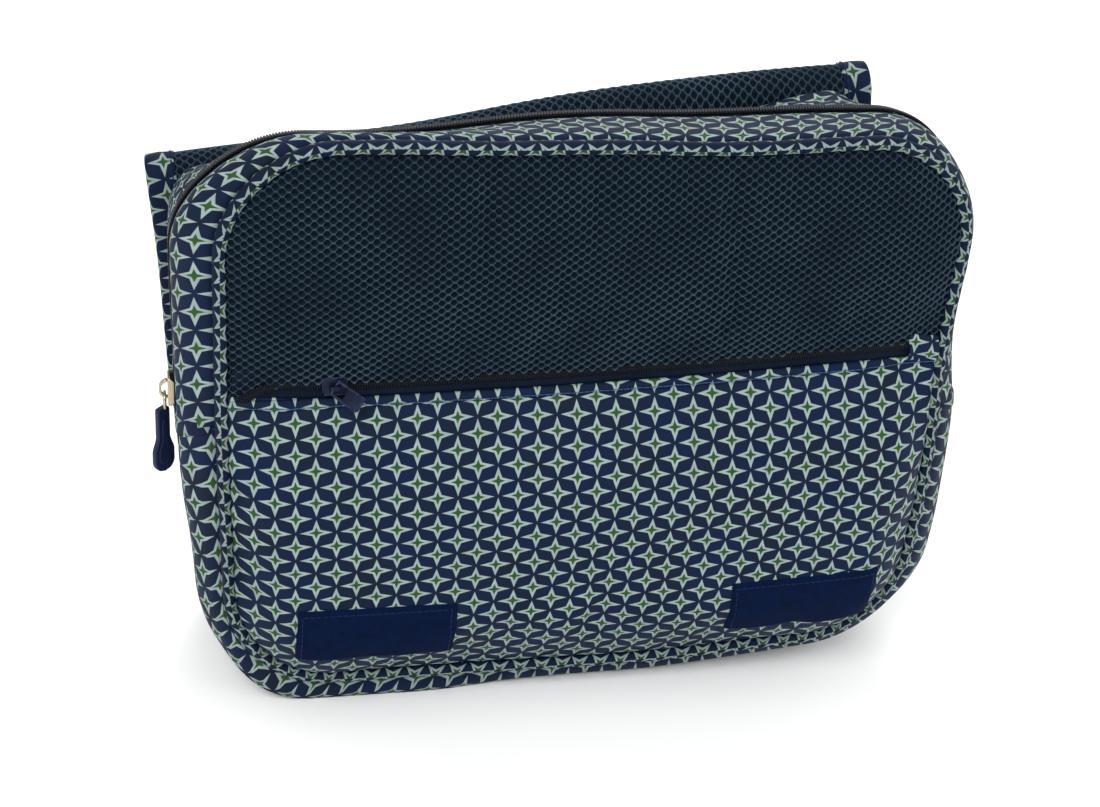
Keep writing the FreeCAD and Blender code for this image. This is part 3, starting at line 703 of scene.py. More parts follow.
def netPiece(name, centres, spot, material, sides=12):
    # spot turns flat places and heights above the cloth into points of the draped net
    look = netting
    tile = hexagon(look["across"], look["up"])
    tile = tile if sides == 12 else tile[::2]
    reach = np.linalg.norm(tile, axis=1).mean()
    oval = unit(tile) * np.array([reach * 1.04, reach * 0.94])
    hole = (tile * 0.45 + oval * 0.55) * look["hole"]
    levels = [(tile, look["thread"]), (hole * 1.16, look["thread"] - 0.12), (hole, look["thread"] - look["sink"]),
              (hole * 1.04, 0.05)]
    if sides != 12:
        levels = [levels[0], levels[2], levels[3]]
    flat, height = [], []
    for shape, lift in levels:
        flat.append((centres[:, None, :] + shape[None, :, :]))
        height.append(np.full((len(centres), sides), lift))
    flat = np.stack(flat, 1).reshape(-1, 2)
    height = np.stack(height, 1).ravel()
    points = spot(flat[:, 0], flat[:, 1], height)
    per = sides * len(levels)
    k = np.arange(sides)
    one = []
    for ring in range(len(levels) - 1):
        a, b = ring * sides + k, ring * sides + (k + 1) % sides
        one.append(np.stack([a, b, b + sides, a + sides], 1))
    one = np.concatenate(one)
    faces = (one[None, :, :] + (np.arange(len(centres)) * per)[:, None, None]).reshape(-1, 4)
    return mesh(name, points, faces, material, flat, merge=0.02)


def netCentres(xLow, xHigh, zLow, zHigh, inside):
    across, up = netting["across"], netting["up"] / 2
    rows = np.arange(int(zLow / up), int(zHigh / up) + 1)
    places = []
    for row in rows:
        x = np.arange(int(xLow / across), int(xHigh / across) + 1) * across + (row % 2) * across / 2
        places.append(np.stack([x, np.full(len(x), row * up)], 1))
    places = np.concatenate(places)
    return places[inside(places[:, 0], places[:, 1])]


def windowSpot(x, z, height):
    depth, normal = dropOnto(windowTree, x, z)
    return np.stack([x, depth, z], 1) + normal * height[:, None]


def inWindow(x, z):
    x, z = onFace(x, z)
    return (rimDistance(x, z, front["rim"]) > -0.5) & (z > edgeLevel(x) + 9.4 - chainDrop(x))


windowNet = netPiece("windowNet", netCentres(-180, 180, 160, 290, inWindow), windowSpot, meshThread)
for piece in (windowGround, windowNet):
    done(piece, "fold", "air_mesh")
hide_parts("front_mesh_window")
print("mesh window made")

lining, rim = frontCloth(
    "pocketLining", lambda x: outlineEdge(x, front["rim"], False), lambda x: edgeLevel(x) + 2,
    lambda x, z: -34.6 + 0.8 * np.sin(x / 31) * np.sin(z / 27), liningCloth)
done(lining, "pouch", "lining", "pocket_lining")


# piping: a covered cord round the front seam
piping = {"radius": 3.2, "inset": 3.25, "depth": -36.75}
count = int(ringLength / 2.2)
along = np.linspace(0, ringLength, count)
around = np.linspace(0, 2 * math.pi, 17)
swell = piping["radius"] * (1 + 0.03 * np.sin(along / 5.2) + 0.02 * np.sin(along / 2.3 + 1))[:, None]
twist = 0.12 * np.sin(along / 37)[:, None]
inset = piping["inset"] - swell * np.sin(around[None, :] + twist)
depth = piping["depth"] - swell * np.cos(around[None, :] + twist)
x, z, _, _ = onRing(np.tile(along[:, None], (1, 17)), inset)
points = settle(spots(x, depth, z))
uv = spots(np.tile(along[:, None], (1, 17)), np.tile(around * piping["radius"] + 1.5, (count, 1)))
cord = mesh("pipingCord", points, gridFaces(count, 17, flip=True), pipingCloth, uv)
done(cord, "fold", "printed_piping", "front_piping_upper", "front_piping_lower")


# gusset: printed strips, puffed between their seams
gusset = {"wall": 0.9}


def puffed(start, end, rimInset, puff, groove=0.0):
    t = np.linspace(0, 1, 15)
    depth = start + (end - start) * t
    inset = rimInset - puff * np.sin(t * math.pi) ** 0.6
    if groove:
        inset[0] += groove
        inset[1] += groove * 0.25
    return np.stack([depth, inset], 1)


def crumple(strength, centre=None):
    # creases across a strip, more of them at one spot
    def wave(s, depth):
        fold = 0.28 * np.sin(s / 9.0 + depth / 7.0) + 0.22 * np.sin(s / 17.0 - depth / 5.0 + 1.3)
        more = 0.0 if centre is None else np.exp(-((s - centre) / 45.0) ** 2)
        body = np.sin(np.clip((depth - depth.min()) / np.ptp(depth), 0, 1) * math.pi)
        sharp = np.abs(np.sin(s / 11.0 + depth / 9.0)) + 0.6 * np.abs(np.sin(s / 7.0 - depth / 11.0))
        return 0 * s, body * (strength * fold + more * 2.2 * sharp)
    return wave


joinUpLeft, joinUpRight = sideLength(pouch["joinHigh"]), sideLength(pouch["joinHigh"], False)
joinLeft, joinRight = sideLength(pouch["joinLow"] + 4), sideLength(pouch["joinLow"] + 4, False)
frontEdge = pouch["zipMiddle"] - pouch["tape"] + 1.2
rearEdge = pouch["zipMiddle"] + pouch["tape"] - 1.2
upperSpan = (joinLeft, joinRight)
lowerSpan = (joinRight, joinLeft + ringLength)
strip = band("frontStrip", upperSpan, puffed(-33.6, frontEdge, 1.0, 0.9, 2.2), starCloth, 3.5,
             gusset["wall"], crumple(0.5), shift=(4, 2))
done(strip, "fold", "printed_fabric", "front_gusset_strip")
strip = band("rearStrip", upperSpan, puffed(rearEdge, 33.4, 1.0, 1.0), starCloth, 3.5,
             gusset["wall"], crumple(0.8, topRight - 25), shift=(4, 9))
done(strip, "pouch", "printed_fabric", "rear_gusset_strip")
strip = band("lowerGusset", lowerSpan, puffed(-33.6, 33.4, 1.2, 1.2, 2.2), starCloth, 4.0,
             gusset["wall"], crumple(0.7), shift=(4, 5))
done(strip, "pouch", "printed_fabric", "lower_gusset")
print("gusset made")

# the cloth folded under beside the zip, and its stitching
for name, edge, way, body in (("frontHem", frontEdge, -1, "fold"), ("rearHem", rearEdge, 1, "pouch")):
    profile = [(edge - way * 0.1, 1.3), (edge, 0.75), (edge + way * 0.6, 0.5), (edge + way * 3, 0.35)]
    hem = band(name, upperSpan, profile, starCloth, 3.5, 0.5, shift=(13, 3))
    done(hem, body, "printed_fabric")
    s = np.arange(upperSpan[0], upperSpan[1], 1.0)
    x, z, nx, nz = onRing(s, np.full(len(s), 0.12))
    line = settle(np.stack([x, np.full(len(s), edge + way * 2.6), z], 1))
    seam = stitches(name + "Stitches", line, np.stack([nx, 0 * nx, nz], 1), navyThread)
    done(seam, body, "printed_fabric")


# the big zip: two tapes and two rows of teeth
bigZip = {"pitch": 1.3, "toothLong": 3.3, "radius": 0.62, "inset": -0.35}
for name, low, high, body, node in (
        ("frontTape", frontEdge - 1, pouch["zipMiddle"] - 0.2, "fold", "gusset_zip_front_tape"),
        ("rearTape", pouch["zipMiddle"] + 0.2, rearEdge + 1, "pouch", "gusset_zip_rear_tape")):
    tape = band(name, upperSpan, [(low, 1.6), ((low + high) / 2, 1.3), (high, 1.25)], zipTapeCloth, 4.0, 0.5)
    done(tape, body, "zip_tape", node)


def teeth(name, span, way):
    look = bigZip
    s = np.arange(span[0] + (0 if way < 0 else look["pitch"] / 2), span[1], look["pitch"])
    x, z, nx, nz = onRing(s, np.full(len(s), look["inset"]))
    points = settle(np.stack([x, np.full(len(s), pouch["zipMiddle"] + way * 1.15), z], 1))
    outward = np.stack([nx, 0 * nx, nz], 1)
    across = np.tile([0.0, float(way), 0.0], (len(s), 1)) + np.stack([-nz, 0 * nx, nx], 1) * 0.18
    across = unit(across)
    template, faces = pill(look["toothLong"], look["radius"], 1.25)
    return scatter(name, template, faces, (points, across, unit(np.cross(outward, across)), outward), coilNylon)


done(teeth("frontTeeth", upperSpan, -1), "fold", "zip_coil", "gusset_zip_front_coil", "gusset_zip_start_left",
     "gusset_zip_start_right")
done(teeth("rearTeeth", upperSpan, 1), "pouch", "zip_coil", "gusset_zip_rear_coil")


# join bands: the gusset's folded ends over the zip's ends
for name, left, node in (("joinLeft", True, "gusset_join_left"), ("joinRight", False, "gusset_join_right")):
    middle = sideLength((pouch["joinLow"] + pouch["joinHigh"]) / 2, left)
    rows = np.linspace(-4.2, 4.2, 9)
    lift = 0.75 * (1 - (rows / 4.2) ** 6)
    depths = np.linspace(-32.4, 33.0, 34)
    s = middle + np.tile(rows[:, None], (1, 34))
    bow = 0.5 * np.sin(depths / 9.0)[None, :]
    taper = 2.3 * np.clip((-28.5 - depths) / 4, 0, 1)[None, :]
    x, z, nx, nz = onRing(s + bow, 0.1 - lift[:, None] * np.ones((1, 34)) + taper)
    points = settle(np.stack([x.ravel(), np.tile(depths, (9, 1)).ravel(), z.ravel()], 1))
    uv = np.stack([(s + 4).ravel(), np.tile(depths + 38.6, (9, 1)).ravel()], 1)
    joint = mesh(name, points, gridFaces(9, 34), bindingCloth, uv)
    thicken(joint, 0.7)
    done(joint, "pouch", "printed_binding", node)
    for part, at in (("Lower", -2.6), ("Upper", 2.6)):
        x, z, nx, nz = onRing(np.full(60, middle + at), np.full(60, -0.82))
        line = settle(np.stack([x, np.linspace(-28, 31, 60), z], 1))
        seam = stitches(name + part + "Stitches", line, np.stack([nx, 0 * nx, nz], 1), blueThread)
        done(seam, "pouch", "printed_binding")
print("zip and joins made")


# inside seams and the back
for name, span, low, high, body, slot, node in (
        ("frontSeamUpper", upperSpan, -32.6, -24.8, "fold", "seam_tape", "front_seam_binding_upper"),
        ("frontSeamLower", lowerSpan, -32.6, -24.8, "pouch", "seam_tape", "front_seam_binding_lower"),
        ("rearSeam", (0, ringLength), 25.2, 33.0, "pouch", "seam_tape", "rear_seam_binding")):
    tape = band(name, span, [(low, 2.4), (low + 2, 2.9), (high - 2, 2.9), (high, 2.5)], seamTapeCloth, 4.0, 0.6,
                crumple(0.4))
    done(tape, body, slot, node)

backDepth = {"rim": 33.4, "belly": 1.6}
s = np.linspace(0, ringLength, 177)
shells = np.linspace(0, 1, 14)
points, uv = [], []
for share in shells:
    x, z, _, _ = onRing(s, np.full(len(s), 0.4))
    x, z = x * (1 - share), pouch["height"] / 2 + (z - pouch["height"] / 2) * (1 - share)
    y = backDepth["rim"] + backDepth["belly"] * math.sin(min(1, share * 3) * math.pi / 2)
    y = y + 0.25 * np.sin(x / 25) * np.sin(z / 31)
    points.append(np.stack([x, y, z], 1))
    uv.append(np.stack([x, z], 1))
back = mesh("backPanel", settle(np.concatenate(points)), gridFaces(len(shells), len(s), flip=True), starCloth,
            np.concatenate(uv), merge=0.01)
thicken(back, 0.7)
done(back, "pouch", "printed_fabric", "back_panel")
print("back made")


# pocket zip
slopeAcross = np.array([-math.sin(pocket["slope"]), 0, math.cos(pocket["slope"])])
slopeAlong = np.array([math.cos(pocket["slope"]), 0, math.sin(pocket["slope"])])
pocketZip = {"pitch": 1.25, "toothLong": 2.9, "radius": 0.55}


def chainLevel(x):
    return edgeLevel(x) + pocket["chain"] - chainDrop(x)


xs = np.linspace(-176, 176, 88)
for name, low, high, depth, node in (
        ("pocketLowerTape", lambda x: edgeLevel(x) - 4, lambda x: chainLevel(x) - 0.3, -36.7,
         "pocket_zip_lower_tape"),
        ("pocketUpperTape", lambda x: chainLevel(x) + 0.3, lambda x: edgeLevel(x) + 13, -36.3,
         "pocket_zip_upper_tape")):
    t = np.linspace(0, 1, 7)[:, None]
    z = low(xs)[None, :] * (1 - t) + high(xs)[None, :] * t
    x = np.tile(xs, (7, 1))
    y = depth + 0.25 * np.sin(x / 13.0) * np.sin(t * math.pi) - 0.5 * (t if name == "pocketLowerTape" else 1 - t)
    tape = mesh(name, settle(spots(x, y, z)), gridFaces(7, len(xs)), zipTapeCloth,
                spots(x, z))
    thicken(tape, 0.5)
    done(tape, "pouch", "zip_tape", node)

x = np.arange(-171, 164, 0.25)
z = chainLevel(x)
run = np.r_[0, np.cumsum(np.hypot(np.diff(x), np.diff(z)))]
for name, way, node in (("pocketTeethLower", -1, ["pocket_zip_coil"]), ("pocketTeethUpper", 1, [])):
    at = np.arange(0.4 + (0.6 if way > 0 else 0), run[-1], pocketZip["pitch"])
    cx, cz = np.interp(at, run, x), np.interp(at, run, z)
    ax, az = np.interp(at + 0.5, run, x) - cx, np.interp(at + 0.5, run, z) - cz
    alongLine = unit(np.stack([ax, 0 * ax, az], 1))
    up = np.stack([-alongLine[:, 2], 0 * ax, alongLine[:, 0]], 1)
    origin = np.stack([cx, np.full(len(cx), -38.0), cz], 1) + up * way * 1.0
    across = unit(up * way + alongLine * 0.28)
    outward = np.tile([0.0, -1.0, 0.0], (len(cx), 1))
    template, faces = pill(pocketZip["toothLong"], pocketZip["radius"], 1.35)
    places = (settle(origin), across, unit(np.cross(outward, across)), outward)
    row = scatter(name, template, faces, places, coilNylon)
    done(row, "pouch", "zip_coil", *node)

# the printed tab over the zip's right end
columns = np.linspace(160.0, 176.5, 12)
t = np.linspace(0, 1, 9)[:, None]
lowEdge = edgeLevel(columns) - 1.5
highEdge = edgeLevel(columns) + 13.0 - 2.5 * np.clip((columns - 162) / 14, 0, 1)
x = np.tile(columns, (9, 1)) + 0.8 * np.sin(t * 5)
z = lowEdge[None, :] * (1 - t) + highEdge[None, :] * t
y = -38.6 - 1.4 * np.sin(t * math.pi) ** 0.7 + 0.5 * np.sin(x / 2.9 + t * 4) + 0 * x
tab = mesh("zipEndTab", settle(spots(x, y, z)), gridFaces(9, 12), starCloth,
           np.stack([x.ravel() + 5, z.ravel() + 3], 1))
thicken(tab, 0.7, levels=1)
done(tab, "pouch", "printed_fabric", "pocket_zip_end_tab")

# the pocket's folded top edge and its stitching
xs = np.linspace(-161, 161, 110)
t = np.linspace(0, 1, 8)[:, None]
edge = drawnIn(xs / pouch["faceWide"], edgeLevel(xs / pouch["faceWide"]), 1.0)[1]
z = (edge - 3.6)[None, :] * (1 - t) + (edge + 0.6)[None, :] * t
depth, _ = dropOnto(panelTree, xs, edge - 3.6)
y = (depth - 0.55)[None, :] * (1 - t) + (-37.9) * t - 0.9 * np.sin(t * math.pi) ** 0.8
x = np.tile(xs, (8, 1))
folded = mesh("pocketEdge", spots(x, y, z), gridFaces(8, len(xs)), starCloth,
              spots(x, z))
thicken(folded, 0.6)
done(folded, "pouch", "printed_fabric")
line = np.stack([xs, y[2] - 0.35, z[2]], 1)
seam = stitches("pocketEdgeStitches", line, (0, -1, 0.3), blueThread, pitch=3.0, long=2.7, radius=0.2)
done(seam, "pouch", "printed_fabric")
print("pocket zip made")


# loop patches on the pocket
patch = {"long": 72.0, "high": 30.5, "lift": 1.5}
for name, centreX, centreZ, turn, node in (
        ("loopPatchLeft", -97.0, 53.0, 0.0, "loop_patch_left"),
        ("loopPatchRight", 104.5, 56.5, 2.5, "loop_patch_right")):
    c, s = math.cos(math.radians(turn)), math.sin(math.radians(turn))

    def spot(u, v, lift):
        x, z = centreX + u * c - v * s, centreZ + u * s + v * c
        depth, normal = dropOnto(panelTree, x.ravel(), z.ravel())
        return np.stack([x.ravel(), depth, z.ravel()], 1) + normal * np.asarray(lift).reshape(-1, 1), normal

    u = np.linspace(-patch["long"] / 2, patch["long"] / 2, 40)
    v = np.linspace(-patch["high"] / 2, patch["high"] / 2, 19)
    gu, gv = np.meshgrid(u, v)
    edge = np.minimum(patch["long"] / 2 - np.abs(gu), patch["high"] / 2 - np.abs(gv))
    lift = patch["lift"] * np.clip(edge / 0.9, 0, 1) ** 0.5 + 0.15 - 0.45 * np.exp(-((edge - 2.6) / 0.8) ** 2)
    gu = gu + 0.4 * np.sin(gv / 6.0) * (edge < 0.1)
    points, normal = spot(gu, gv, lift)
    piece = mesh(name, points, gridFaces(19, 40), loopPile, spots(gu, gv))
    smooth = piece.modifiers.new("smooth", "SUBSURF")
    smooth.levels = smooth.render_levels = 1
    done(piece, "pouch", "loop_pile", node)
    a, b = patch["long"] / 2 - 2.6, patch["high"] / 2 - 2.6
    rim = [(-a, -b), (a, -b), (a, b), (-a, b), (-a, -b)]
    lineU = np.concatenate([np.linspace(p[0], q[0], 60)[:-1] for p, q in zip(rim, rim[1:])])
    lineV = np.concatenate([np.linspace(p[1], q[1], 60)[:-1] for p, q in zip(rim, rim[1:])])
    line, normal = spot(lineU, lineV, np.full(len(lineU), patch["lift"] - 0.05))
    seam = stitches(name + "Stitches", line, normal, navyThread, pitch=3.0, long=2.3, radius=0.27)
    done(seam, "pouch", "loop_pile")
print("patches made")


# the folded panel behind the pouch: one sheet of netting on a backing
hang = {
    "x": -26.0, "y": 46.6, "z": 255.7, "skew": math.radians(5.9),
    "radius": 8.75, "wide": 332.0, "drop": 236.9, "binding": 13.5, "hem": 10.0,
}
hangRun = 2 * hang["drop"] + math.pi * hang["radius"]


def hangSpot(u, v, lift):
    # u across and v down the front leaf, over the fold and down the rear leaf; lift is away from the fold's inside
    u, v, lift = np.broadcast_arrays(np.asarray(u, float), np.asarray(v, float), np.asarray(lift, float))
    r, drop = hang["radius"], hang["drop"]
    turn = np.clip((v - drop) / r, 0, math.pi)
    below = np.maximum(drop - v, 0) + np.maximum(v - drop - math.pi * r, 0)
    wave = 0.55 * np.sin(u / 31.0 + v / 60.0) * np.sin(v / hangRun * math.pi)
    wave = wave * np.where(v < drop, 0.3, 1.0)
    crown = 1.0 * np.sin(turn) * np.sin(u / 24.0 + 1.2) * np.cos(u / 130.0) + 6.0 * np.exp(-((u - 75) / 80.0) ** 2)
    y = -np.cos(turn) * (r + lift + np.where(v > drop, wave, -np.abs(wave)))
    up = np.sin(turn) * (r + lift + crown) - below
    c, s = math.cos(hang["skew"]), math.sin(hang["skew"])
    upper = ramp(v, 0, drop) * ramp(v, hangRun, drop)
    sheared = (0.020 * u - 2.2) * upper
    leaning = 3.2 * ramp(below, 20, 110) * ramp(below, 200, 130) * ramp(u, -60, -166)
    x = hang["x"] + u * c - up * s - leaning
    z = hang["z"] + u * s + up * c + sheared
    return np.stack([x, hang["y"] + y, z], -1).reshape(-1, 3)


def hangGrid(name, us, vs, lift, material, wall=0.0):
    u, v = np.meshgrid(us, vs)
    points = hangSpot(u.ravel(), v.ravel(), np.broadcast_to(lift, u.shape).ravel())
    piece = mesh(name, points, gridFaces(len(vs), len(us)), material, spots(u, v))
    return thicken(piece, wall, 0.0) if wall else piece


foldSteps = np.linspace(hang["drop"], hang["drop"] + math.pi * hang["radius"], 17)
rearSteps = np.linspace(hang["drop"] + math.pi * hang["radius"], hangRun, 42)
sheetSteps = np.r_[np.linspace(0, hang["drop"], 42)[:-1], foldSteps, rearSteps[1:]]
halfHang = hang["wide"] / 2
hangColumns = np.linspace(-halfHang + 0.5, halfHang - 0.5, 64)
hangGround = hangGrid("panelGround", hangColumns, sheetSteps, 0.0, shadedMeshGround, 0.9)


def inHang(u, v):
    return (np.abs(u) < halfHang - 9) & (v > 5) & (v < hangRun - 5)


hangNet = netPiece("panelNet", netCentres(-halfHang, halfHang, 0, hangRun, inHang), hangSpot, meshThread, sides=6)
for name, way, nodes in (
        ("panelBindingLeft", -1, ("front_leaf_binding_left", "fold_binding_left", "rear_leaf_binding_left")),
        ("panelBindingRight", 1, ("front_leaf_binding_right", "fold_binding_right", "rear_leaf_binding_right"))):
    wide = hang["binding"]
    profile = np.array([(-wide, 1.0), (-wide + 0.3, 1.7), (-wide + 2, 1.8), (-wide * 0.75, 1.6), (-wide / 2, 1.95),
                        (-2, 1.9), (-0.5, 1.6), (0.1, 0.6), (0.1, -0.6), (-0.5, -1.6), (-2, -1.9), (-wide / 2, -1.9),
                        (-wide + 2, -1.8), (-wide + 0.3, -1.7), (-wide, -1.0)])
    vs = np.r_[np.linspace(0.5, hang["drop"], 50)[:-1], foldSteps, np.linspace(foldSteps[-1], hangRun - 0.5, 50)[1:]]
    ripple = 0.5 * np.sin(vs / 13.0 + way) + 0.3 * np.sin(vs / 5.1)
    u = way * (halfHang + profile[None, :, 0] + 0 * vs[:, None])
    u = u + ripple[:, None] * (profile[None, :, 0] < -wide + 1)
    lift = profile[None, :, 1] * (1 + 0.10 * np.sin(vs / 8.0)[:, None])
    v = np.tile(vs[:, None], (1, len(profile)))
    run = np.r_[0, np.cumsum(np.hypot(*np.diff(profile, axis=0).T))]
    uv = np.stack([np.tile(run + 3, (len(vs), 1)).ravel(), v.ravel() + 4], 1)
    binding = mesh(name, hangSpot(u.ravel(), v.ravel(), lift.ravel()), gridFaces(len(vs), len(profile), flip=way > 0),
                   bindingCloth, uv)
    done(binding, "panel", "printed_binding", *nodes)
    for part, lifted in (("Stitches", 1.85), ("StitchesInside", -1.95)):
        across, down = np.full(300, way * (halfHang - wide + 2.0)), np.linspace(2, hangRun - 2, 300)
        line, further = hangSpot(across, down, lifted), hangSpot(across, down, lifted * 2)
        seam = stitches(name + part, line, further - line, navyThread)
        done(seam, "panel", "printed_binding")
for name, start, way, body, cadNode in (("panelHemFront", 0, 1, "pouch", "front_leaf_hem"),
                                         ("panelHemRear", hangRun, -1, "rear_leaf", "rear_leaf_hem")):
    tall = hang["hem"]
    profile = np.array([(tall, 0.9), (tall - 0.4, 1.5), (tall / 2, 1.7), (1, 1.6), (0, 0.8), (-0.3, 0),
                        (0, -0.8), (1, -1.6), (tall / 2, -1.7), (tall - 0.4, -1.5), (tall, -0.9)])
    us = np.linspace(-halfHang + hang["binding"] - 1, halfHang - hang["binding"] + 1, 90)
    u, k = np.meshgrid(us, np.arange(len(profile)))
    v, lift = start + way * profile[k, 0], profile[k, 1]
    uv = np.stack([u.ravel(), k.ravel() * 2.3], 1)
    hem = mesh(name, hangSpot(u.ravel(), v.ravel(), lift.ravel()), gridFaces(len(profile), len(us), flip=way < 0),
               bindingCloth, uv)
    done(hem, body, "printed_binding", cadNode)
done(hangGround, "panel", "air_mesh", "panel_front_leaf", "panel_rear_leaf", "panel_fold")
done(hangNet, "panel", "air_mesh")
print("folded panel made")


def patchOn(name, centreU, centreV, long, high, base, thick, material, body, slotName, node):
    us, vs = np.linspace(-long / 2, long / 2, 36), np.linspace(-high / 2, high / 2, 17)
    u, v = np.meshgrid(us, vs)
    edge = np.minimum(long / 2 - np.abs(u), high / 2 - np.abs(v))
    lift = base + thick * np.clip(edge / 0.8, 0, 1) ** 0.5 - 0.35 * np.exp(-((edge - 2.5) / 0.7) ** 2)
    points = hangSpot((centreU + u).ravel(), (centreV + v).ravel(), lift.ravel())
    piece = mesh(name, points, gridFaces(17, 36), material, spots(u, v))
    return done(piece, body, slotName, node)


c, s = math.cos(hang["skew"]), math.sin(hang["skew"])
for name, node in (("hookPatchLeft", "hook_patch_left"), ("hookPatchRight", "hook_patch_right")):
    low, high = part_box(node)
    middle = (low + high) / 2 / mm
    u = (middle.x - hang["x"]) * c + (middle.z - hang["z"]) * s
    v = foldSteps[-1] + (middle.x - hang["x"]) * s - (middle.z - hang["z"]) * c
    patchOn(name, u, v, 75.0, 32.0, 1.2, 1.3, hookNylon, "rear_leaf", "hook_tape", node)
low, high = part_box("panel_anchor_tape")
middle = (low + high) / 2 / mm
u = (middle.x - hang["x"]) * c + (middle.z - hang["z"]) * s
v = hang["drop"] - (middle.x - hang["x"]) * s + (middle.z - hang["z"]) * c
tape = patchOn("anchorTape", u, v, 290.0, 15.0, 1.2, 0.7, seamTapeCloth, "pouch", "seam_tape", "panel_anchor_tape")


# sliders and pulls
def slab(name, outline, low, high, origin, axes, material, bevel=0.3):
    # a flat plate with rounded edges: the outline lies in the first two directions
    outline = np.asarray(outline, float)
    count = len(outline)
    flat = np.concatenate([np.c_[outline, np.full(count, low)], np.c_[outline, np.full(count, high)]])
    points = np.asarray(origin, float) + flat @ np.asarray(axes, float)
    k = np.arange(count)
    faces = [tuple(k[::-1]), tuple(k + count)] + [(a, (a + 1) % count, (a + 1) % count + count, a + count) for a in k]
    piece = mesh(name, points, faces, material, None, smooth=True, merge=0.001)
    edge = piece.modifiers.new("edge", "BEVEL")
    edge.width, edge.segments = bevel * mm, 3
    edge.limit_method, edge.angle_limit = "ANGLE", math.radians(40)
    edge.harden_normals = True
    return piece


def wire(name, path, radius, material, closed=False, sides=10):
    # a bent rod along a path
    path = np.asarray(path, float)
    ahead, behind = np.roll(path, -1, 0), np.roll(path, 1, 0)
    if not closed:
        ahead[-1], behind[0] = path[-1], path[0]
    along = unit(ahead - behind)
    if closed:
        plane = unit(np.cross(path[len(path) // 3] - path[0], path[len(path) // 2] - path[0]))
        normal = np.tile(plane, (len(path), 1))
    else:
        normal = unit(np.cross(along, np.array([0.31, 0.17, 0.94])))
    other = unit(np.cross(along, normal))
    angle = np.linspace(0, 2 * math.pi, sides + 1)[:-1]
    points = (path[:, None, :] + normal[:, None, :] * (radius * np.cos(angle))[None, :, None]
              + other[:, None, :] * (radius * np.sin(angle))[None, :, None]).reshape(-1, 3)
    rings, faces = len(path), []
    for i in range(rings if closed else rings - 1):
        for j in range(sides):
            a, b = i * sides + j, i * sides + (j + 1) % sides
            c, d = ((i + 1) % rings) * sides + (j + 1) % sides, ((i + 1) % rings) * sides + j
            faces.append((a, b, c, d))
    if not closed:
        faces += [tuple(range(sides)), tuple(range((rings - 1) * sides, rings * sides))[::-1]]
    return mesh(name, points, faces, material, None, merge=0.0001)


def joined(name, *pieces):
    # one piece from several, with their modifiers applied
    shape = bmesh.new()
    graph = bpy.context.evaluated_depsgraph_get()
    graph.update()
    material = pieces[0].data.materials[0]
    for piece in pieces:
        made = bpy.data.meshes.new_from_object(piece.evaluated_get(graph))
        shape.from_mesh(made)
    data = bpy.data.meshes.new(name)
    shape.to_mesh(data)
    shape.free()
    data.materials.append(material)
    for piece in pieces:
        bpy.data.objects.remove(piece)
    result = bpy.data.objects.new(name, data)
    bpy.context.scene.collection.objects.link(result)
    return result


def roundRect(long, wide, radius, taper=0.0, steps=6):
    points = []
    for cx, cy, start in ((long / 2 - radius, wide / 2 - radius, 0),
                          (-long / 2 + radius, wide / 2 - radius - taper, 90),
                          (-long / 2 + radius, -wide / 2 + radius + taper, 180),
                          (long / 2 - radius, -wide / 2 + radius, 270)):
        for k in range(steps + 1):
            angle = math.radians(start + 90 * k / steps)
            points.append((cx + radius * math.cos(angle), cy + radius * math.sin(angle)))
    return points


def archPath(half, height, count=25):
    t = np.linspace(-1, 1, count)
    return t * half, height * (1 - np.abs(t) ** 3.2)


mainSlider = {
    "plate": 1.4, "arch": 3.9,
    "hangs": 4.0,                            # how far the slack side lets it down
    "tabTurn": 52.0, "tabOut": 1.2,          # degrees, and how far the tab stands off the zip
}
low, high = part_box("gusset_zip_slider")
sliderMiddle = np.array([0, (low.y + high.y) / 2, (low.z + high.z) / 2]) / mm
sliderMiddle[2] -= mainSlider["hangs"]
archX = low.x / mm
plateX = archX + mainSlider["arch"]
up, side, out = np.array([0, 0, 1.0]), np.array([0, 1.0, 0]), np.array([-1.0, 0, 0])
origin = sliderMiddle + np.array([plateX, 0, 0])
parts = [slab("plate", roundRect(15, 9.2, 2.2, 0.9), -mainSlider["plate"], 0, origin, (up, side, out),
              nickelPlate, 0.45)]
for way in (-1, 1):
    wing = [(-6.6, 0), (6.6, 0), (7.0, -1.2), (5.4, -2.9), (-5.4, -2.9), (-6.9, -1.4)]
    parts.append(slab("wing", wing, -0.55, 0.55, origin + side * way * 4.0, (up, out, side), nickelPlate, 0.3))
a, c = archPath(4.9, 3.3)
outerArch = [(p, q + 0.6) for p, q in zip(a, c)]
innerArch = [(p * 0.80, max(q - 0.5, -0.4)) for p, q in zip(a, c)][::-1]
parts.append(slab("bridge", outerArch + innerArch, -1.1, 1.1, origin, (up, out, side), nickelPlate, 0.3))
slider = joined("mainSlider", *parts)
done(slider, "main_slider", "nickel", "gusset_zip_slider")

low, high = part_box("gusset_pull_link")
linkMiddle = np.array([(low.x + high.x) / 2, (low.y + high.y) / 2, 0]) / mm
top, bottom = high.z / mm - 0.9 - mainSlider["hangs"], low.z / mm - 1.0
t = np.linspace(0, 2 * math.pi, 49)[:-1]
half = 3.2
ovalY = half * np.sign(np.cos(t)) * np.abs(np.cos(t)) ** 0.75
ovalZ = (top + bottom) / 2 + (top - bottom) / 2 * np.sign(np.sin(t)) * np.abs(np.sin(t)) ** 0.55
path = np.stack([np.full(48, linkMiddle[0]), linkMiddle[1] + ovalY, ovalZ], 1)
link = wire("pullLink", path, 0.75, nickelPlate, closed=True)
done(link, "main_pull", "nickel", "gusset_pull_link")

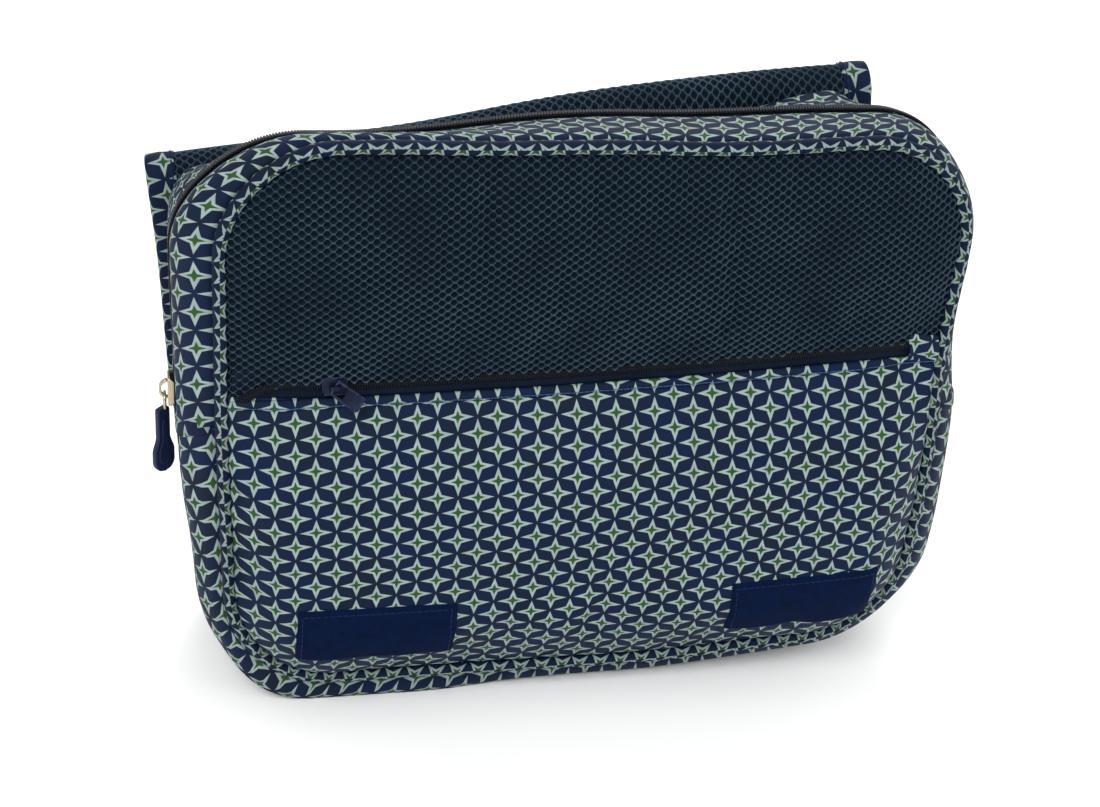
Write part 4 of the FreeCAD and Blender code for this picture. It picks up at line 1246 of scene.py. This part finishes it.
low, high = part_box("gusset_pull_tab")
tabX, tabY, tabTop = (low.x + high.x) / 2 / mm, (low.y + high.y) / 2 / mm, high.z / mm
t = np.linspace(0, 33, 45)
half = 3.3 + 2.2 * ramp(t, 15, 23)
half = np.where(t < 2.0, half - 2.0 + np.sqrt(np.maximum(4 - (2.0 - t) ** 2, 0)), half)
half = np.where(t > 27.5, np.sqrt(np.maximum(5.5 ** 2 - (t - 27.5) ** 2, 0.0)), half)
outline = [(-a, b) for a, b in zip(t, half)] + [(-a, -b) for a, b in list(zip(t, half))[-2:0:-1]]
twist = math.radians(mainSlider["tabTurn"])
hungSide = side * math.cos(twist) - out * math.sin(twist)
hungOut = out * math.cos(twist) + side * math.sin(twist)
hungAt = (tabX - mainSlider["tabOut"], tabY, tabTop - 0.6)
tabParts = [slab("tab", outline, -1.4, 1.4, hungAt, (up, hungSide, hungOut), rubber, 0.6)]
t = np.linspace(6, 29, 30)
half = 1.5 + 2.0 * ramp(t, 16, 23)
half = half * np.sqrt(np.clip(1 - ((t - 17.5) / 11.5) ** 8, 0, 1))
outline = [(-a, b) for a, b in zip(t, half)] + [(-a, -b) for a, b in list(zip(t, half))[-2:0:-1]]
tabParts.append(slab("pad", outline, -1.75, 1.75, hungAt, (up, hungSide, hungOut), rubber, 0.4))
tab = joined("pullTab", *tabParts)
done(tab, "main_pull", "rubber_tab", "gusset_pull_tab")

slope = pocket["slope"]
at, chain = pocket["slider"], pocket["chain"]
centre = np.array([at * math.cos(slope) - chain * math.sin(slope), -39.9,
                   pocket["level"] + at * math.sin(slope) + chain * math.cos(slope)])
frontward = np.array([0, -1.0, 0])
parts = [slab("plate", roundRect(11, 8.8, 2.0, 0.8), -1.3, 0, centre, (slopeAlong, slopeAcross, frontward),
              enamel, 0.4)]
for way in (-1, 1):
    wing = [(-4.6, 0), (4.6, 0), (4.4, -2.3), (-4.4, -2.3)]
    parts.append(slab("wing", wing, -0.45, 0.45, centre + slopeAcross * way * 3.9,
                      (slopeAlong, frontward, slopeAcross), enamel, 0.25))
a, c = archPath(2.7, 2.3)
outerArch = [(p, q + 0.45) for p, q in zip(a, c)]
innerArch = [(p * 0.66, max(q - 0.45, -0.3)) for p, q in zip(a, c)][::-1]
parts.append(slab("bridge", outerArch + innerArch, -1.0, 1.0, centre,
                  (slopeAlong, frontward, slopeAcross), enamel, 0.25))
slider = joined("pocketSlider", *parts)
done(slider, "pocket_slider", "enamelled_slider", "pocket_zip_slider")

turn, tilt = math.radians(28), math.radians(32)
ahead = np.array([math.cos(tilt) * math.cos(turn), -math.sin(tilt), -math.cos(tilt) * math.sin(turn)])
wide = np.array([math.sin(turn), 0, math.cos(turn)])
face = np.cross(wide, ahead)
hinge = centre + np.array([0, -0.9, 0])
leaf = [(-0.4, -3.9), (13.0, -4.1), (14.0, -3.0), (14.0, 3.4), (13.2, 4.0), (-0.4, 3.9), (-0.4, 2.7),
        (5.2, 2.6), (5.6, 2.0), (5.6, -2.0), (5.2, -2.6), (-0.4, -2.7)]
parts = [slab("leaf", leaf, -0.55, 0.55, hinge, (ahead, wide, face), enamel, 0.3)]
bar = wire("bar", [hinge + wide * k for k in (-3.6, -1.2, 1.2, 3.6)], 0.5, enamel)
pull = joined("pocketPull", *parts, bar)
done(pull, "pocket_pull", "enamelled_slider", "pocket_zip_pull")
print("sliders made")


# camera, floor and light
view = {"yaw": math.radians(-13.3), "rise": math.radians(28.8), "roll": math.radians(4.3), "aimY": -33.5,
        "aimZ": 141.7, "across": 17.8, "above": -11.6, "away": 901.5, "lens": 720 / 11}
back = Vector((math.sin(view["yaw"]) * math.cos(view["rise"]), -math.cos(view["yaw"]) * math.cos(view["rise"]),
               math.sin(view["rise"])))
level = Vector((0, 0, 1)).cross(back).normalized()
over = back.cross(level)
right = level * math.cos(view["roll"]) + over * math.sin(view["roll"])
upward = over * math.cos(view["roll"]) - level * math.sin(view["roll"])
eye = Vector((0, view["aimY"], view["aimZ"])) - right * view["across"] - upward * view["above"] + back * view["away"]
cameraData = bpy.data.cameras.new("camera")
cameraData.lens, cameraData.sensor_width = view["lens"], 36
camera = bpy.data.objects.new("camera", cameraData)
turned = Matrix((right, upward, back)).transposed().to_4x4()
camera.matrix_world = Matrix.Translation(eye * mm) @ turned
bpy.context.scene.collection.objects.link(camera)
bpy.context.scene.camera = camera

floorPaint = Paint("paleFloor")
cloud = floorPaint.noise(floorPaint.place("Object"), 3.0, 2.0)
floorTone = floorPaint.mix(cloud, shade(250, 250, 250), shade(253, 253, 253))
floorMaterial = floorPaint.finish({"Base Color": floorTone, "Roughness": 0.9, "Specular IOR Level": 0.1})
reach = 6000.0
ground = mesh("floor", [(-reach, -reach, -0.6), (reach, -reach, -0.6), (reach, reach, -0.6), (-reach, reach, -0.6)],
              [(0, 1, 2, 3)], floorMaterial, None, smooth=False)

world = bpy.data.worlds.new("studio")
world.use_nodes = True
world.node_tree.nodes["Background"].inputs["Color"].default_value = (1, 1, 1, 1)
world.node_tree.nodes["Background"].inputs["Strength"].default_value = 0.85
bpy.context.scene.world = world
bpy.context.scene.view_settings.view_transform = "Standard"


def softbox(name, where, target, size, power):
    data = bpy.data.lights.new(name, "AREA")
    data.shape, data.size, data.energy = "DISK", size, power
    lamp = bpy.data.objects.new(name, data)
    lamp.location = where
    lamp.rotation_mode = "QUATERNION"
    lamp.rotation_quaternion = (Vector(target) - Vector(where)).to_track_quat("-Z", "Y")
    bpy.context.scene.collection.objects.link(lamp)
    return lamp


softbox("key", (-0.9, -1.3, 1.6), (0, 0, 0.12), 1.1, 26)
softbox("fill", (1.5, -0.9, 0.9), (0, 0, 0.12), 1.4, 9)
softbox("rim", (0.3, 1.5, 1.5), (0, 0, 0.15), 1.2, 16)
print("camera and light set")
